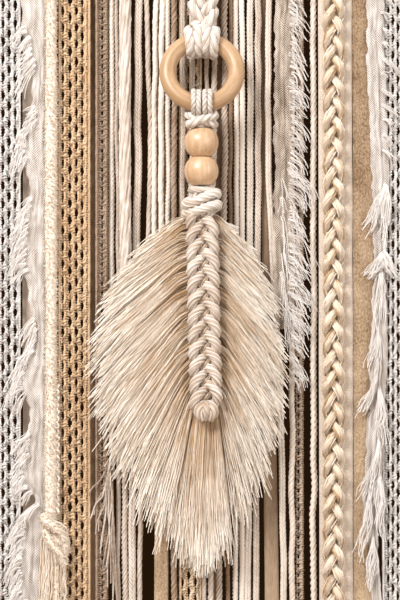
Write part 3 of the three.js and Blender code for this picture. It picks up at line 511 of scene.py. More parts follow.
def gauze(name, dark, light, pitch, threshold, cover):
    material, add = new_material(name)
    place = add("ShaderNodeTexCoord").outputs["Object"]
    drift = add("ShaderNodeTexNoise", {"Vector": place, "Scale": 90.0, "Detail": 1.0}).outputs["Color"]
    bent = add("ShaderNodeVectorMath", drift, (WEAVE_DRIFT,) * 3, place, operation="MULTIPLY_ADD")
    parts = add("ShaderNodeSeparateXYZ", bent).outputs
    waves = []
    for operation in ("ADD", "SUBTRACT"):
        slant = add("ShaderNodeMath", parts["X"], parts["Z"], operation=operation)
        phase = add("ShaderNodeMath", slant, math.pi / (pitch * MM), operation="MULTIPLY")
        wave = add("ShaderNodeMath", phase, operation="SINE")
        waves.append(add("ShaderNodeMath", wave, operation="ABSOLUTE"))
    hole = add("ShaderNodeMath", *waves, operation="MULTIPLY")
    crowd = noise_in_mm(add, (4, 4, 11))
    dense = add_up(add, threshold - 0.35, [(hole, -1.0), (crowd, 0.7)])
    alpha = add("ShaderNodeMapRange", dense, -0.1, 0.12, cover)
    crinkle = noise_in_mm(add, (1.6, 1.6, 7), 3.0, 0.6)
    soft = add("ShaderNodeBump", {"Height": crinkle, "Strength": 0.8, "Distance": 1.2 * MM})
    bump = add("ShaderNodeBump", {"Height": hole, "Strength": 0.5, "Distance": -0.3 * MM, "Normal": soft})
    two_tone(add, add_up(add, 0.1, [(hole, -0.55), (crowd, 1.5)]), dark, light, {
        "Roughness": 0.95, "Specular IOR Level": 0.2, "Alpha": alpha, "Normal": bump})
    return material


WHITE_GAUZE = gauze("white cotton gauze", "#a09081", "#eae6e3", 1.4, 0.62, 0.45)
OPEN_GAUZE = gauze("open beige gauze", "#755c44", "#d8ccbf", 1.35, 0.6, 0.12)
print("gauze: threads 1.4 and 1.35 mm apart")

# %% [markdown]
# ## Turned wood
#
# The ring and the beads are turned from a pale, close-grained wood such as beech or maple. The
# cutter leaves the grain as fine lines that follow the ring round, and that run from bore to bore
# on a bead. Each wooden piece stores in `grain` its own millimetres, with the long way of the
# grain pressed together, so one noise draws the lines on all of them.

# %% The wood material
def turned_wood(name, dark, light, gloss):
    material, add = new_material(name)
    place = add("ShaderNodeAttribute", attribute_name="grain").outputs["Vector"]
    lines = []
    for size in (2.6, 0.42):
        spot = add("ShaderNodeVectorMath", place, 1 / size, operation="SCALE")
        inputs = {"Vector": spot, "Scale": 1.0, "Detail": 3.0, "Distortion": 0.3}
        lines.append(add("ShaderNodeTexNoise", inputs))
    bump = add("ShaderNodeBump", {"Height": lines[1], "Strength": 0.15, "Distance": 0.1 * MM})
    two_tone(add, add_up(add, -0.45, zip(lines, (1.1, 0.8))), dark, light, {
        "Roughness": 0.45, "Coat Weight": gloss, "Coat Roughness": 0.3, "Normal": bump})
    return material


# The beads wear a satin lacquer. The ring is only oiled, so it is duller and a little redder. It is
# also painted a little darker than the beads, as shade, because more of the lamps' light falls on it.
BEAD_WOOD = turned_wood("satin lacquered pale wood", "#a87c51", "#e1c4a3", 0.6)
RING_WOOD = turned_wood("oiled pale wood", "#957048", "#d1b18e", 0.2)
print("wood grain: lines 0.4 mm apart")

# %% [markdown]
# ## Keeping count
#
# Every finished piece rides on the one body and hides the solids that it stands for.

# %% Finishing a piece
def dress(piece, slot_name, *nodes):
    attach(piece, "root")
    if nodes:
        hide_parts(*nodes)


def hang(name, lines, tree, slot_name, *nodes, **values):
    """Grow a piece on its lines and dress it."""
    dress(grow(name, lines_mesh(name + ".lines", lines), tree, **values), slot_name, *nodes)


# %% [markdown]
# ## The heading
#
# The strips are gathered into a narrow woven tape along the top edge. It is the one straight
# piece of the tail: a flat box with softened edges, under a plain weave.

# %% Heading tape
HEADING = {"left": -127.0, "right": 126.0, "height": 8.0, "depth": 3.0, "soft": 0.8}
HEADING_TAPE = fibre("woven cotton tape", "#b09a84", "#efe5da", cloth_grain(0.6, 0.6, 0.4),
                     streak=1.2, bump=0.8, height=0.4)


def heading_tape():
    size = HEADING
    mesh = bpy.data.meshes.new("heading_tape")
    shape = bmesh.new()
    bmesh.ops.create_cube(shape, size=1.0)
    for vertex in shape.verts:
        vertex.co.x = size["right"] if vertex.co.x > 0 else size["left"]
        vertex.co.y = size["depth"] if vertex.co.y > 0 else 0
        vertex.co.z = 0 if vertex.co.z > 0 else -size["height"]
        vertex.co *= MM
    bmesh.ops.bevel(shape, geom=shape.edges, offset=size["soft"] * MM, segments=3, affect="EDGES")
    bmesh.ops.recalc_face_normals(shape, faces=shape.faces)
    shape.to_mesh(mesh)
    shape.free()
    mesh.materials.append(HEADING_TAPE)
    return put("heading_tape", mesh)


dress(heading_tape(), "cotton_string", "string_curtain")
print("heading:", HEADING["right"] - HEADING["left"], "mm wide")

# %% [markdown]
# ## The strings
#
# Some two dozen cotton strings hang side by side, in three makes. A rope is four plies laid
# tightly together. A chain is worked from loops, so it shows a column of small Vs, which two thin
# ropes of opposite twist give when they lie side by side. A soft string has hardly any twist. One
# table says where each string hangs and how thick it is, a second says how each make is laid, and
# the plied cord tree makes them all.

# %% Where the strings hang
UPPER_Z = -124
LOWER_Z = -270
String = namedtuple("String", "top upper lower end y width length turn shade")
STRINGS = {
    "rope": [
        (-53.8, -53.8, -53.8, -53.6, 1.5, 3.6, 318, 11.2, 1.15),
        (-45.9, -45.9, -45.9, -46.0, 1.6, 3.4, 430, 12.0, 0.75),
        (-20.3, -20.3, -20.3, -20.3, 1.5, 3.1, 330, 9.2, 1.1),
        (13.5, 13.4, 11.0, 10.0, 1.5, 3.5, 421, 13.2, 0.55),
        (20.4, 20.4, 20.1, 19.7, 1.3, 3.2, 424, 8.8, 1.5),
        (23.7, 23.7, 23.7, 23.6, 1.3, 3.2, 427, -8.8, 1.35),
        (66.2, 66.2, 66.2, 66.2, 1.5, 3.6, 409, 14.8, 1.1),
    ],
    "chain": [
        (-38.0, -38.2, -40.6, -41.8, 1.5, 4.1, 421, 10.0, 0.95),
        (-11.3, -11.2, -11.4, -11.4, 1.5, 2.7, 360, 8.8, 0.7),
        (-5.9, -6.0, -6.0, -6.0, 1.5, 3.2, 352, 9.2, 0.8),
        (28.8, 28.7, 27.8, 27.3, 1.5, 3.6, 421, 8.4, 1.02),
        (33.3, 33.2, 32.3, 31.9, 1.5, 3.4, 430, 8.8, 0.78),
        (40.0, 39.4, 46.3, 48.8, 1.5, 3.5, 427, 9.2, 1.05),
    ],
    "soft": [
        (-50.6, -50.4, -49.8, -49.5, 1.5, 2.6, 424, 7.0, 0.45),
        (-34.4, -30.9, -34.6, -37.8, 2.2, 2.9, 427, 14.0, 0.5),
        (-26.9, -28.3, -28.2, -28.2, 0.9, 2.9, 316, 16.0, 1.0),
        (-23.8, -24.2, -24.0, -24.0, 1.5, 3.3, 322, 18.0, 1.1),
        (-16.5, -16.6, -16.5, -16.5, 1.5, 3.4, 424, 12.0, 0.15),
        (3.2, 3.2, 1.6, 1.0, 1.5, 2.5, 418, 12.0, 0.4),
        (7.0, 6.8, 5.6, 5.3, 1.5, 3.2, 427, 12.0, 0.5),
        # This string is painted dark, as shade: it fills a gap that lies in deep shadow.
        (17.0, 17.0, 15.6, 15.0, 2.1, 2.6, 430, 6.0, 0.0),
        (53.4, 53.4, 53.5, 53.6, 1.6, 3.3, 424, 9.0, 0.7),
    ],
}
LAYS = {
    "rope": {"plies": 4, "ply_depth": 0.3, "profile_points": 8, "step": 1.2 * MM, "fuzz": 0.65 * MM},
    "chain": {"plies": 4, "ply_depth": 0.36, "profile_points": 8, "step": 1.4 * MM, "fuzz": 0.5 * MM},
    "soft": {"plies": 3, "ply_depth": 0.16, "profile_points": 10, "step": 1.8 * MM, "fuzz": 1.0 * MM},
}
# A line's radius as a share of its string's width, and how far a chain's halves stand apart.
WHOLE, HALF, APART = 0.56, 0.36, 0.22
WANDER = 0.24
LOOSE_YARNS = {"count": 16, "left": -13.5, "right": 5.5, "shortest": 26, "longest": 104, "front": -4.6}
print("strings:", {lay: len(rows) for lay, rows in STRINGS.items()})

# %% Lines of the strings
def string_lines(lay, row, rng):
    """The one line of a string or, for a chain, its two halves."""
    points = [(row.top, row.y, -1), (row.upper, row.y, UPPER_Z), (row.lower, row.y, LOWER_Z),
              (row.end, row.y, -row.length)]
    path = smooth_line(points, 8)
    path[1:, :2] += rng.normal(0, WANDER, (len(path) - 1, 2))
    if lay != "chain":
        return [cord(path, row.width * WHOLE, row.turn, shade=row.shade)]
    return [cord(path + [side * row.width * APART, 0, 0], row.width * HALF, side * row.turn, shade=row.shade)
            for side in (-1, 1)]


def loose_yarn_lines(rng):
    """The yarns into which the first rope opens at its end."""
    row, loose = String(*STRINGS["rope"][0]), LOOSE_YARNS
    lines = []
    for i in range(loose["count"]):
        share = i / (loose["count"] - 1)
        spread = loose["left"] + (loose["right"] - loose["left"]) * share
        drop = loose["shortest"] + (loose["longest"] - loose["shortest"]) * share + 7 * (i % 2)
        root = np.array([row.end, row.y, -row.length + 16])
        places = [root + [spread * out, loose["front"], -drop * down]
                  for out, down in ((0.1, 0.22), (0.25, 0.42), (0.5, 0.62), (0.8, 0.82), (1, 1))]
        places += rng.normal(0, 0.7, (5, 3))
        lines.append(cord(smooth_line([root, *places], 5), 0.52, 4, shade=rng.uniform(0.3, 0.9)))
    return lines


rng = np.random.default_rng(11)
for lay, sizes in LAYS.items():
    lines = [line for row in STRINGS[lay] for line in string_lines(lay, String(*row), rng)]
    if lay == "rope":
        lines += loose_yarn_lines(rng)
    hang(f"cotton_strings_{lay}", lines, PLIED_CORD, "cotton_string", "string_curtain", fibres=1,
         material=COTTON_STRING, **sizes)

# %% [markdown]
# ## Crochet lace
#
# This lace is a close fabric of yarns with columns of narrow holes. Beside each column runs a
# yarn on the left and one on the right. They bow apart round every hole and lie against each other
# between two holes, where a small V of thread ties them. Plain yarns fill the rest. The holes of
# neighbouring columns are half a row apart. So each column is a place, a width and a phase, and
# each hole in it is a little wider or narrower than the last.

# %% Strips of lace
Lace = namedtuple("Lace", "node slot material left right holes plain y length row")
FRONT_LACE_Y = -0.9
BACK_LACE_Y = 3.9
LACES = [
    Lace("white_lace_left", "white_crochet", WHITE_LACE, -126.2, -107.0,
         [(-121.4, 2.7), (-117.8, 2.5), (-114.2, 2.9), (-110.5, 2.6)],
         [-125.4, -123.8, -119.6, -116.0, -112.3, -108.6, -107.4], FRONT_LACE_Y, 427, 10.7),
    Lace("tan_lace_left", "tan_crochet", TAN_LACE, -85.4, -65.8,
         [(-82.3, 1.6), (-78.1, 2.7), (-74.3, 2.1), (-70.9, 2.0)],
         [-84.9, -80.3, -76.2, -72.6, -68.9, -67.7, -66.5], FRONT_LACE_Y, 424, 10.0),
    Lace("greige_lace_left", "greige_crochet", GREIGE_LACE, -63.4, -55.2,
         [(-59.0, 1.1)], [-62.6, -61.3, -57.0, -56.0], FRONT_LACE_Y, 405, 5.6),
    Lace("tan_lace_centre", "tan_crochet", CREAM_LACE, -14.0, 0.2,
         [(-11.7, 2.0), (-7.8, 2.2), (-3.9, 1.9)],
         [-13.4, -9.8, -5.8, -2.0, -0.7], BACK_LACE_Y, 421, 10.0),
    Lace("knit_tape_right", "greige_ribbon", KNIT_YARN, 55.1, 61.0,
         [(57.5, 1.2)], [59.2, 60.0], BACK_LACE_Y, 424, 5.6),
    Lace("white_lace_right", "white_crochet", WHITE_LACE, 106.4, 125.2,
         [(110.4, 1.4), (113.1, 2.4), (116.0, 2.6), (119.6, 1.8), (122.6, 1.6)],
         [107.0, 108.4, 114.5, 117.8, 121.1, 124.2], FRONT_LACE_Y, 427, 10.2),
]
YARN_RADIUS, YARN_TURN = 1.02, 3.6
TIE_RADIUS, TIE_TURN = 0.78, 4
# Half the distance of two yarns that lie against each other, and how far ties stand in front.
TOUCHING, TIE_FRONT = 0.8, 0.55
HOLE_SIZES = (0.6, 1.1)
print("strips of lace:", len(LACES))

# %% Lace yarns
def bow(width, phase, heights, row, rng):
    """How far a hole's two yarns stand apart at each height."""
    turns = heights / row + phase
    sizes = rng.uniform(*HOLE_SIZES, 128)[np.floor(0.5 - turns).astype(int)]
    return width * sizes * np.maximum(0, np.cos(2 * np.pi * turns)) ** 0.7


def lace_lines(lace, rng):
    forward = -1 if lace.y < 0 else 1
    heights = np.arange(-1.2, -lace.length, -lace.row / 9)
    depth = lace.y + forward * sway(heights)
    lines = []

    def yarn(x, radius, handed):
        wander = rng.normal(0, 0.1, (len(heights), 2))
        path = np.column_stack([np.clip(x + wander[:, 0], lace.left + radius, lace.right - radius),
                                depth + wander[:, 1], heights])
        lines.append(cord(path, radius, handed * YARN_TURN, shade=0.5))

    for k, x in enumerate(lace.plain):
        yarn(x + 0.25 * np.sin(2 * np.pi * heights / lace.row * 2 + k), YARN_RADIUS, (-1) ** k)
    for k, (x, width) in enumerate(lace.holes):
        phase = 0.5 * (k % 2) + rng.uniform(-0.06, 0.06)
        apart = bow(width, phase, heights, lace.row, rng)
        for side in (-1, 1):
            yarn(x + side * (TOUCHING + apart / 2), YARN_RADIUS, side)
        first = (phase - 0.5) % 1 * lace.row
        for z in np.arange(first + (lace.row if first < 3 else 0), lace.length - 4, lace.row):
            front = lace.y + forward * sway(z) - TIE_FRONT
            for step in (-0.9, 0.9):
                half = rng.uniform(1.2, 1.8)
                path = [(x - half, front + 0.3, step - z + 0.8), (x, front - 0.35, step - z - 0.7),
                        (x + half, front + 0.3, step - z + 0.8)]
                lines.append(cord(path, TIE_RADIUS, TIE_TURN, shade=0.8))
    return lines


for index, lace in enumerate(LACES):
    lines = lace_lines(lace, np.random.default_rng(20 + index))
    hang(lace.node + "_yarns", lines, PLIED_CORD, lace.slot, lace.node, plies=2, ply_depth=0.26,
         step=1.5 * MM, profile_points=5, fibres=1, fuzz=0.25 * MM, material=lace.material)

# %% [markdown]
# ## Cloth strips
#
# Gauze, felt, tape and ribbon are flat sheets. Each is a grid of points that follows its
# solid's leaning, widening and folds, and it gets its real thickness from a second grid behind
# the first. The rims of torn cloth wander a little on every row.

# %% A closed sheet from a grid
def slab(name, front, thickness, material):
    """A closed sheet. front is a grid of points in millimetres, with its rows downwards."""
    rows, columns, _ = front.shape
    back = front + [0, thickness, 0]
    points = np.concatenate([front.reshape(-1, 3), back.reshape(-1, 3)]) * MM
    count = rows * columns
    index = np.arange(count).reshape(rows, columns)
    a, b, c, d = index[:-1, :-1], index[1:, :-1], index[1:, 1:], index[:-1, 1:]
    quads = np.stack([a, b, c, d], -1).reshape(-1, 4)
    faces = [*quads.tolist(), *(quads[:, ::-1] + count).tolist()]
    rim = [*index[:, 0], *index[-1, 1:], *index[-2::-1, -1], *index[0, -2:0:-1]]
    for i, j in zip(rim, rim[1:] + rim[:1]):
        faces.append([i, i + count, j + count, j])
    mesh = bpy.data.meshes.new(name)
    mesh.from_pydata(points.tolist(), [], [[int(v) for v in face] for face in faces])
    mesh.shade_smooth()
    mesh.materials.append(material)
    print(f"{name}: {2 * len(faces)} triangles")
    return put(name, mesh)


def smooth_noise(rng, count, every):
    """Seeded random values from -1 to 1 that change smoothly over about every steps."""
    knots = rng.uniform(-1, 1, count // every + 3)
    return np.interp(np.arange(count) / every, np.arange(len(knots)), knots)


print("a sheet: two grids and a rim")

# %% Ribbons
Ribbon = namedtuple("Ribbon", "slot material top end top_width end_width turn length front wave thick")
RIBBONS = {
    "greige_ribbon_left": Ribbon(
        "greige_ribbon", PALE_RIBBON, -101.7, -101.2, 10.6, 10.6, 8, 421, False, 0.3, 0.5),
    "shadow_ribbon_left": Ribbon(
        "greige_ribbon", PAINTED_SHADE_RIBBON, -63.8, -64.6, 7, 6, 10, 418, False, 0.3, 0.5),
    "felt_ribbon_centre": Ribbon(
        "tan_felt", TAN_FELT, -23.4, -24.4, 6.6, 8.6, 0, 427, False, 0.3, 1.2),
    "shadow_ribbon_centre": Ribbon(
        "greige_ribbon", PAINTED_SHADE_RIBBON, 10.4, 8.6, 5, 5, 0, 421, False, 0.2, 0.5),
    "satin_ribbon_right": Ribbon(
        "greige_ribbon", PAINTED_SHADE_RIBBON, 36.9, 42, 4.6, 9, 0, 427, False, 0.4, 0.5),
    "ivory_ribbon_right": Ribbon(
        "ivory_ribbon", IVORY_TAPE, 78.6, 79.6, 20, 20, 0, 427, True, 0.3, 1.1),
    "felt_ribbon_right": Ribbon(
        "tan_felt", TAN_FELT, 95.6, 96.3, 13.6, 13, 0, 424, True, 0.4, 1.3),
}
FRONT_Y = -0.3
BACK_Y = 3.3
RIM_WANDER = 0.18


def ribbon_grid(row, rng):
    count = 70
    t = np.linspace(0, 1, count)[:, None]
    across = np.linspace(-0.5, 0.5, 7)[None, :]
    rim = np.stack([smooth_noise(rng, count, 5) for _ in (0, 1)], 1)
    width = row.top_width + (row.end_width - row.top_width) * t
    reach = across * width + RIM_WANDER * np.where(across < 0, rim[:, :1], rim[:, 1:]) * np.abs(across) * 2
    angle = np.radians(row.turn) * np.sin(2 * np.pi * t)
    x = row.top + (row.end - row.top) * t + reach * np.cos(angle)
    ripple = row.wave * np.sin(3 * np.pi * across + smooth_noise(rng, count, 22)[:, None] * 2)
    if row.front:
        y = FRONT_Y - row.thick - sway(row.length * t) + ripple + 0 * across
    else:
        y = BACK_Y + np.abs(reach * np.sin(angle)) + sway(2 * row.length * t) + row.wave + ripple
    return np.stack(np.broadcast_arrays(x, y, -row.length * t), -1)


for index, (name, row) in enumerate(RIBBONS.items()):
    grid = ribbon_grid(row, np.random.default_rng(40 + index))
    piece = slab(name + "_cloth", grid, row.thick, row.material)
    dress(piece, row.slot, name)

# %% [markdown]
# The gauze hangs in ripples and its outline is torn, in and out over a few centimetres. The
# tables give the outline and the height of the ripples, as the solids have them, and the grid
# adds the small tears between those heights.

# %% Torn gauze
GAUZES = {
    "left": (-2.8, table(
        "left right fold",
        (0, -107.6, -94.4, 0.2), (-52, -107.4, -94.2, 0.8), (-58, -103.8, -94.2, 1.2),
        (-80, -101.6, -94.4, 1), (-104, -100.4, -94.4, 0.6), (-113, -108.2, -94.2, 1.4),
        (-126, -107, -94.2, 1), (-144, -101.6, -94.4, 0.8), (-164, -105.6, -94.6, 1.2),
        (-190, -107, -94.4, 1.4), (-206, -101.8, -94.4, 0.8), (-232, -101, -94, 1),
        (-262, -108.6, -94.4, 1.5), (-276, -102.4, -94.6, 1), (-300, -105.4, -94.8, 1),
        (-318, -109.4, -95, 1.4), (-330, -98.6, -95.2, 0.6), (-340, -107.6, -95.4, 1.2),
        (-376, -110, -95.8, 1.5), (-400, -104, -96, 1))),
    "middle": (-1.3, table(
        "left right fold",
        (0, 42.6, 53.6, 0.2), (-30, 42.4, 55.2, 0.9), (-56, 42.6, 53.4, 1.2),
        (-92, 42.8, 53, 1.2), (-130, 42.6, 54.2, 1.4), (-150, 42.4, 55.4, 1),
        (-176, 41.6, 53.6, 1.2), (-206, 41.4, 54, 1.4), (-230, 43.4, 52.4, 1))),
    "right": (-2.8, table(
        "left right fold",
        (0, 97.4, 108.4, 0.2), (-50, 97, 107.6, 1), (-96, 98.6, 109.2, 1.4),
        (-124, 99.2, 110.6, 1.2), (-150, 101.4, 110.6, 1), (-196, 101, 108.4, 1.4),
        (-240, 99.6, 109.6, 1.2), (-276, 98.4, 108, 1), (-300, 96.6, 107, 1.4),
        (-330, 95, 105.2, 1.2), (-354, 98.6, 104, 1), (-392, 100, 106, 0.8))),
}
GAUZE_THICKNESS = 0.3
ROW_STEP, COLUMNS = 2.1, 21
TEAR_SLOW, TEAR_FINE = 0.9, 0.35
# The left strip's inner edge slips back behind the chenille cord beside it.
TUCKS = {"left": (2.2, 1.9), "middle": (0, 0), "right": (0, 0)}
GAUZE_MATERIALS = {"left": WHITE_GAUZE, "middle": OPEN_GAUZE, "right": WHITE_GAUZE}
print("strips of gauze:", len(GAUZES))

# %% Gauze sheets
def gauze_grid(front_y, rows, tuck, rng):
    z = np.arange(0, rows[-1]["z"] - 0.1, -ROW_STEP)
    across = np.linspace(0, 1, COLUMNS)[None, :]
    tears = TEAR_SLOW * smooth_noise(rng, len(z), 3) + TEAR_FINE * rng.normal(0, 1, len(z))
    left = (ease(z, rows, "left") + tears)[:, None]
    right = (ease(z, rows, "right") + tuck[0] + 0.25 * rng.normal(0, 1, len(z)))[:, None]
    crease = smooth_noise(rng, len(z), 9)[:, None]
    fine = smooth_noise(rng, len(z), 4)[:, None]
    fold = ease(z, rows, "fold")[:, None] * np.sin(3 * np.pi * across + 0.5 * crease) ** 2
    pucker = 0.3 * np.sin(9 * np.pi * across + 3 * crease) + 0.2 * np.sin(17 * np.pi * across + 4 * fine)
    x = left + (right - left) * across
    y = front_y - sway(z)[:, None] - fold - pucker + tuck[1] * across**6
    return np.stack(np.broadcast_arrays(x, y, z[:, None]), -1)


for index, (side, (front_y, rows)) in enumerate(GAUZES.items()):
    grid = gauze_grid(front_y, rows, TUCKS[side], np.random.default_rng(60 + index))
    piece = slab(f"torn_gauze_{side}_cloth", grid, GAUZE_THICKNESS, GAUZE_MATERIALS[side])
    dress(piece, "white_gauze", f"torn_gauze_{side}")

# %% [markdown]
# ## Frayed threads
#
# Where gauze is torn along its weave, the cross threads come loose and hang out in curly tufts.
# The combed threads tree makes them: one table says where each torn edge has its tufts and how
# far they reach, and a second lists the bundles that hang where the cloth is torn through.

# %% Tufts
# How far the tufts stand in front of their cloth, and how far inside its edge they are rooted.
FRONT_OF_GAUZE = 2.6
INSIDE_EDGE = 3.0
TASSEL_Y = -2.2


def fray_line(root, reach, drop, lift, fan, rng):
    """The middle line of one tuft, from its root outwards and down."""
    root = np.array(root, dtype=float)
    path = [root, root + [reach * 0.4, -lift, -drop * rng.uniform(0.05, 0.3)],
            root + [reach * 0.75, -lift, -drop * rng.uniform(0.4, 0.7)],
            root + [reach, -lift * 0.3, -drop]]
    return wisp(np.array(path), (fan * 0.4, fan), (0.4, 0.8), shade=rng.uniform(0, 1))


def edge_frays(front_y, edge, top, end, every, reach, drop, fan, rng):
    """Tufts down one torn edge, each of its own length."""
    lines = []
    for z in np.arange(top, end, -every):
        x = edge(z) if callable(edge) else edge
        root = (x + rng.uniform(-1, 1), front_y - sway(z) - FRONT_OF_GAUZE + 0.7, z)
        size = rng.uniform(0.5, 1.2)
        fall = drop * size * rng.uniform(0.6, 1.4)
        lines.append(fray_line(root, reach * size, fall, rng.uniform(0.1, 0.9), fan, rng))
    return lines


def left_edge(z):
    return float(ease(z, GAUZES["left"][1], "left")) + INSIDE_EDGE


print("tufts stand", FRONT_OF_GAUZE, "mm in front of the gauze")

# %% Frays
# Each torn edge: its x, top and lower end, and its tufts' spacing, reach, drop and width.
TEARS = {
    "left": [(left_edge, top, end, 3.2, -9, 14, 3.0) for top, end in (
        (-50, -78), (-98, -132), (-152, -196), (-222, -270), (-290, -326), (-332, -398))],
    "middle": [(52.0, -16, -130, 3.6, 9.5, 12, 3.0), (51.6, -130, -226, 3.2, 12.5, 17, 4.2),
               (47.0, -140, -226, 11, 3, 26, 2.6), (52.6, -222, -262, 4.0, 9, 13, 3.4)],
    "right": [(106.0, -24, -130, 9, 8, 9, 1.6)],
}
# The threads of a tuft, and how far they curl.
FRAY_THREADS = {"left": (10, 5), "middle": (6, 7), "right": (10, 8)}
# Where the cloth is torn through, whole bundles hang: top x and z, end x and z, width of the end.
TASSELS = [
    (108.2, -143, 95.6, -178, 4.6), (109.4, -143, 107.2, -186, 2.6), (106.6, -184, 97.4, -203, 3.0),
    (107.2, -184, 115.0, -201, 2.6), (105.6, -192, 103.2, -240, 4.4), (104.4, -230, 100.5, -264, 4.4),
    (103.2, -254, 92.5, -286, 3.6), (104.6, -262, 108.0, -302, 3.6), (104.6, -292, 95.0, -342, 4.6),
    (99.5, -324, 93.0, -368, 3.0), (105.0, -312, 105.0, -358, 3.6), (101.0, -350, 98.5, -392, 3.4),
]


def tassel_lines(rng):
    lines = []
    for top_x, top_z, end_x, end_z, fan in TASSELS:
        for part in (-1, -0.3, 0.3, 1):
            root = np.array([top_x + 0.4 * part, TASSEL_Y - sway(top_z), top_z + 2.5 * rng.uniform(-1, 1)])
            way = np.array([end_x - top_x + part * fan * 0.7, 0, (end_z - top_z) * rng.uniform(0.7, 1.0)])
            front = np.array([0, -FRONT_OF_GAUZE - 1, 0])
            swing = [rng.uniform(-1.6, 1.6), 0, 0]
            path = [root, root + way * [0.1, 1, 0.2] + front, root + way * [0.3, 1, 0.45] + front + swing,
                    root + way * [0.7, 1, 0.75] + front - swing, root + way + front]
            lines.append(wisp(np.array(path), (0.5, fan * 0.5), (0.4, 0.9), shade=rng.uniform(0, 1)))
    return lines


rng = np.random.default_rng(80)
for side, tears in TEARS.items():
    lines = tassel_lines(rng) if side == "right" else []
    for tear in tears:
        lines += edge_frays(GAUZES[side][0], *tear, rng)
    # The left strip's short fray has no solid of its own.
    name = f"frayed_threads_{side}"
    names = [name] if side == "left" else [name + "_tufts", name]
    threads, wave = FRAY_THREADS[side]
    hang(names[0], lines, COMBED_THREADS, "white_gauze", *names[1:], threads=threads,
         thread_radius=0.22 * MM, points=8, uneven=0.45, wave=wave * MM, wave_scale=90.0, seed=5,
         material=FRAYED)

# %% [markdown]
# ## Chenille and roving
#
# Chenille is a core cord with a short, dense pile all round it, here about 9 mm thick. The core
# is swept as a cord with a coarse, uneven wall, and Geometry Nodes scatter short tapered hairs
# all over it. Low down the cord is knotted and ends in a tail: thinner cores under the same pile,
# with loose curly yarns laid over them by the combed threads tree. The roving is the opposite of
# chenille: long untwisted fibres that only lie together.

# %% Tree: pile
def pile_tree():
    tree, add, given = new_tree(
        "pile", density=100000.0, hair=0.0012, hair_radius=0.0002, seed=1, material="")
    spots = {"Mesh": given["Geometry"], "Density": given["density"], "Seed": given["seed"]}
    scatter = add("GeometryNodeDistributePointsOnFaces", spots).outputs
    tone = add("FunctionNodeRandomValue", {"Min": 0.0, "Max": 1.0, "Seed": given["seed"]})
    toned = {"Geometry": scatter["Points"], "Name": "tone", "Value": tone}
    points = add("GeometryNodeStoreNamedAttribute", toned)
    shape = {"Vertices": 3, "Radius Bottom": given["hair_radius"], "Radius Top": 0.0, "Depth": given["hair"]}
    hair = add("GeometryNodeMeshCone", shape, fill_type="TRIANGLE_FAN")
    angles = {"Min": (-0.8, -0.8, 0.0), "Max": (0.8, 0.8, 0.0), "Seed": given["seed"]}
    lean = add("FunctionNodeRandomValue", angles, data_type="FLOAT_VECTOR")
    turned = add("FunctionNodeRotateRotation", scatter["Rotation"], lean, rotation_space="LOCAL")
    hairs = add("GeometryNodeInstanceOnPoints", {"Points": points, "Instance": hair, "Rotation": turned})
    both = add("GeometryNodeJoinGeometry", hairs)
    tree.links.new(given["Geometry"], both.inputs["Geometry"])
    close_tree(add, given, both)
    return tree


PILE = pile_tree()
print("tree:", PILE.name)

# %% The chenille's course
CHENILLE_X = -89.2
CHENILLE_Y = -3.4
CHENILLE_ROWS = table(
    "half", (0, 3.6), (-70, 3.8), (-90, 4.3), (-180, 4.4), (-215, 3.9), (-270, 4.3), (-316, 4.6),
    (-339, 4.3), (-350, 3.4))
# How much of the radius is pile, on the cord and in the knot.
PILE_ON_CORD, PILE_ON_KNOT = 0.6, 0.4
LAZY_TURN = 30
# The knot's turns and, under them, the tail's own cords: radius, then points.
CHENILLE_KNOT = [
    (3.0, [(-93.4, -3.6, -339.5), (-91.8, -7.6, -342.4), (-87.4, -9.2, -345), (-82.8, -8.4, -349),
           (-80.8, -6.6, -355), (-81.6, -5.4, -362)]),
    (2.8, [(-92.8, -5, -348), (-90.6, -7.8, -352), (-87, -8.2, -357), (-83.4, -7.4, -362), (-81, -6, -368)]),
    (2.6, [(-88.6, -4.6, -345), (-86.4, -6.6, -351), (-83.4, -6.4, -356.5)]),
]
CHENILLE_TAIL = [
    (2.8, [(-90.8, -4.2, -350), (-91.6, -4.6, -388), (-92.6, -4.4, -423)]),
    (2.9, [(-86, -4.6, -352), (-86.2, -5, -390), (-87, -4.6, -424)]),
    (2.0, [(-82, -4.6, -362), (-81.8, -4.8, -392), (-82.6, -4.4, -419)]),
]
PILE_YARNS = {"count": 9, "left": -6.4, "right": 8.6, "top": -343, "end": -424, "uneven": 6}
print("the chenille is straight for", -CHENILLE_ROWS[-1]["z"], "mm")

# %% Chenille cord
def chenille_lines():
    z = np.arange(0, -350.1, -2.5)
    half = ease(z, CHENILLE_ROWS, "half")
    path = np.column_stack([CHENILLE_X + 0 * z, CHENILLE_Y + 0 * z, z])
    lines = [cord(path, half - PILE_ON_CORD, LAZY_TURN, tone=0.75)]
    for radius, points in CHENILLE_KNOT + CHENILLE_TAIL:
        lines.append(cord(smooth_line(points, 5), radius - PILE_ON_KNOT, LAZY_TURN, tone=0.7))
    return lines


def edge_loop_lines():
    """A row of small loops on the cord's right edge, above the knot."""
    z = np.arange(-262, -338, -0.9)
    edge = ease(z, CHENILLE_ROWS, "half") - 0.3
    path = np.column_stack([
        CHENILLE_X + edge + 0.6 * np.sin(z * 1.6), CHENILLE_Y - 1.4 + 0.5 * np.cos(z * 1.6), z])
    return [cord(path, 0.9, 4, tone=1.2)]


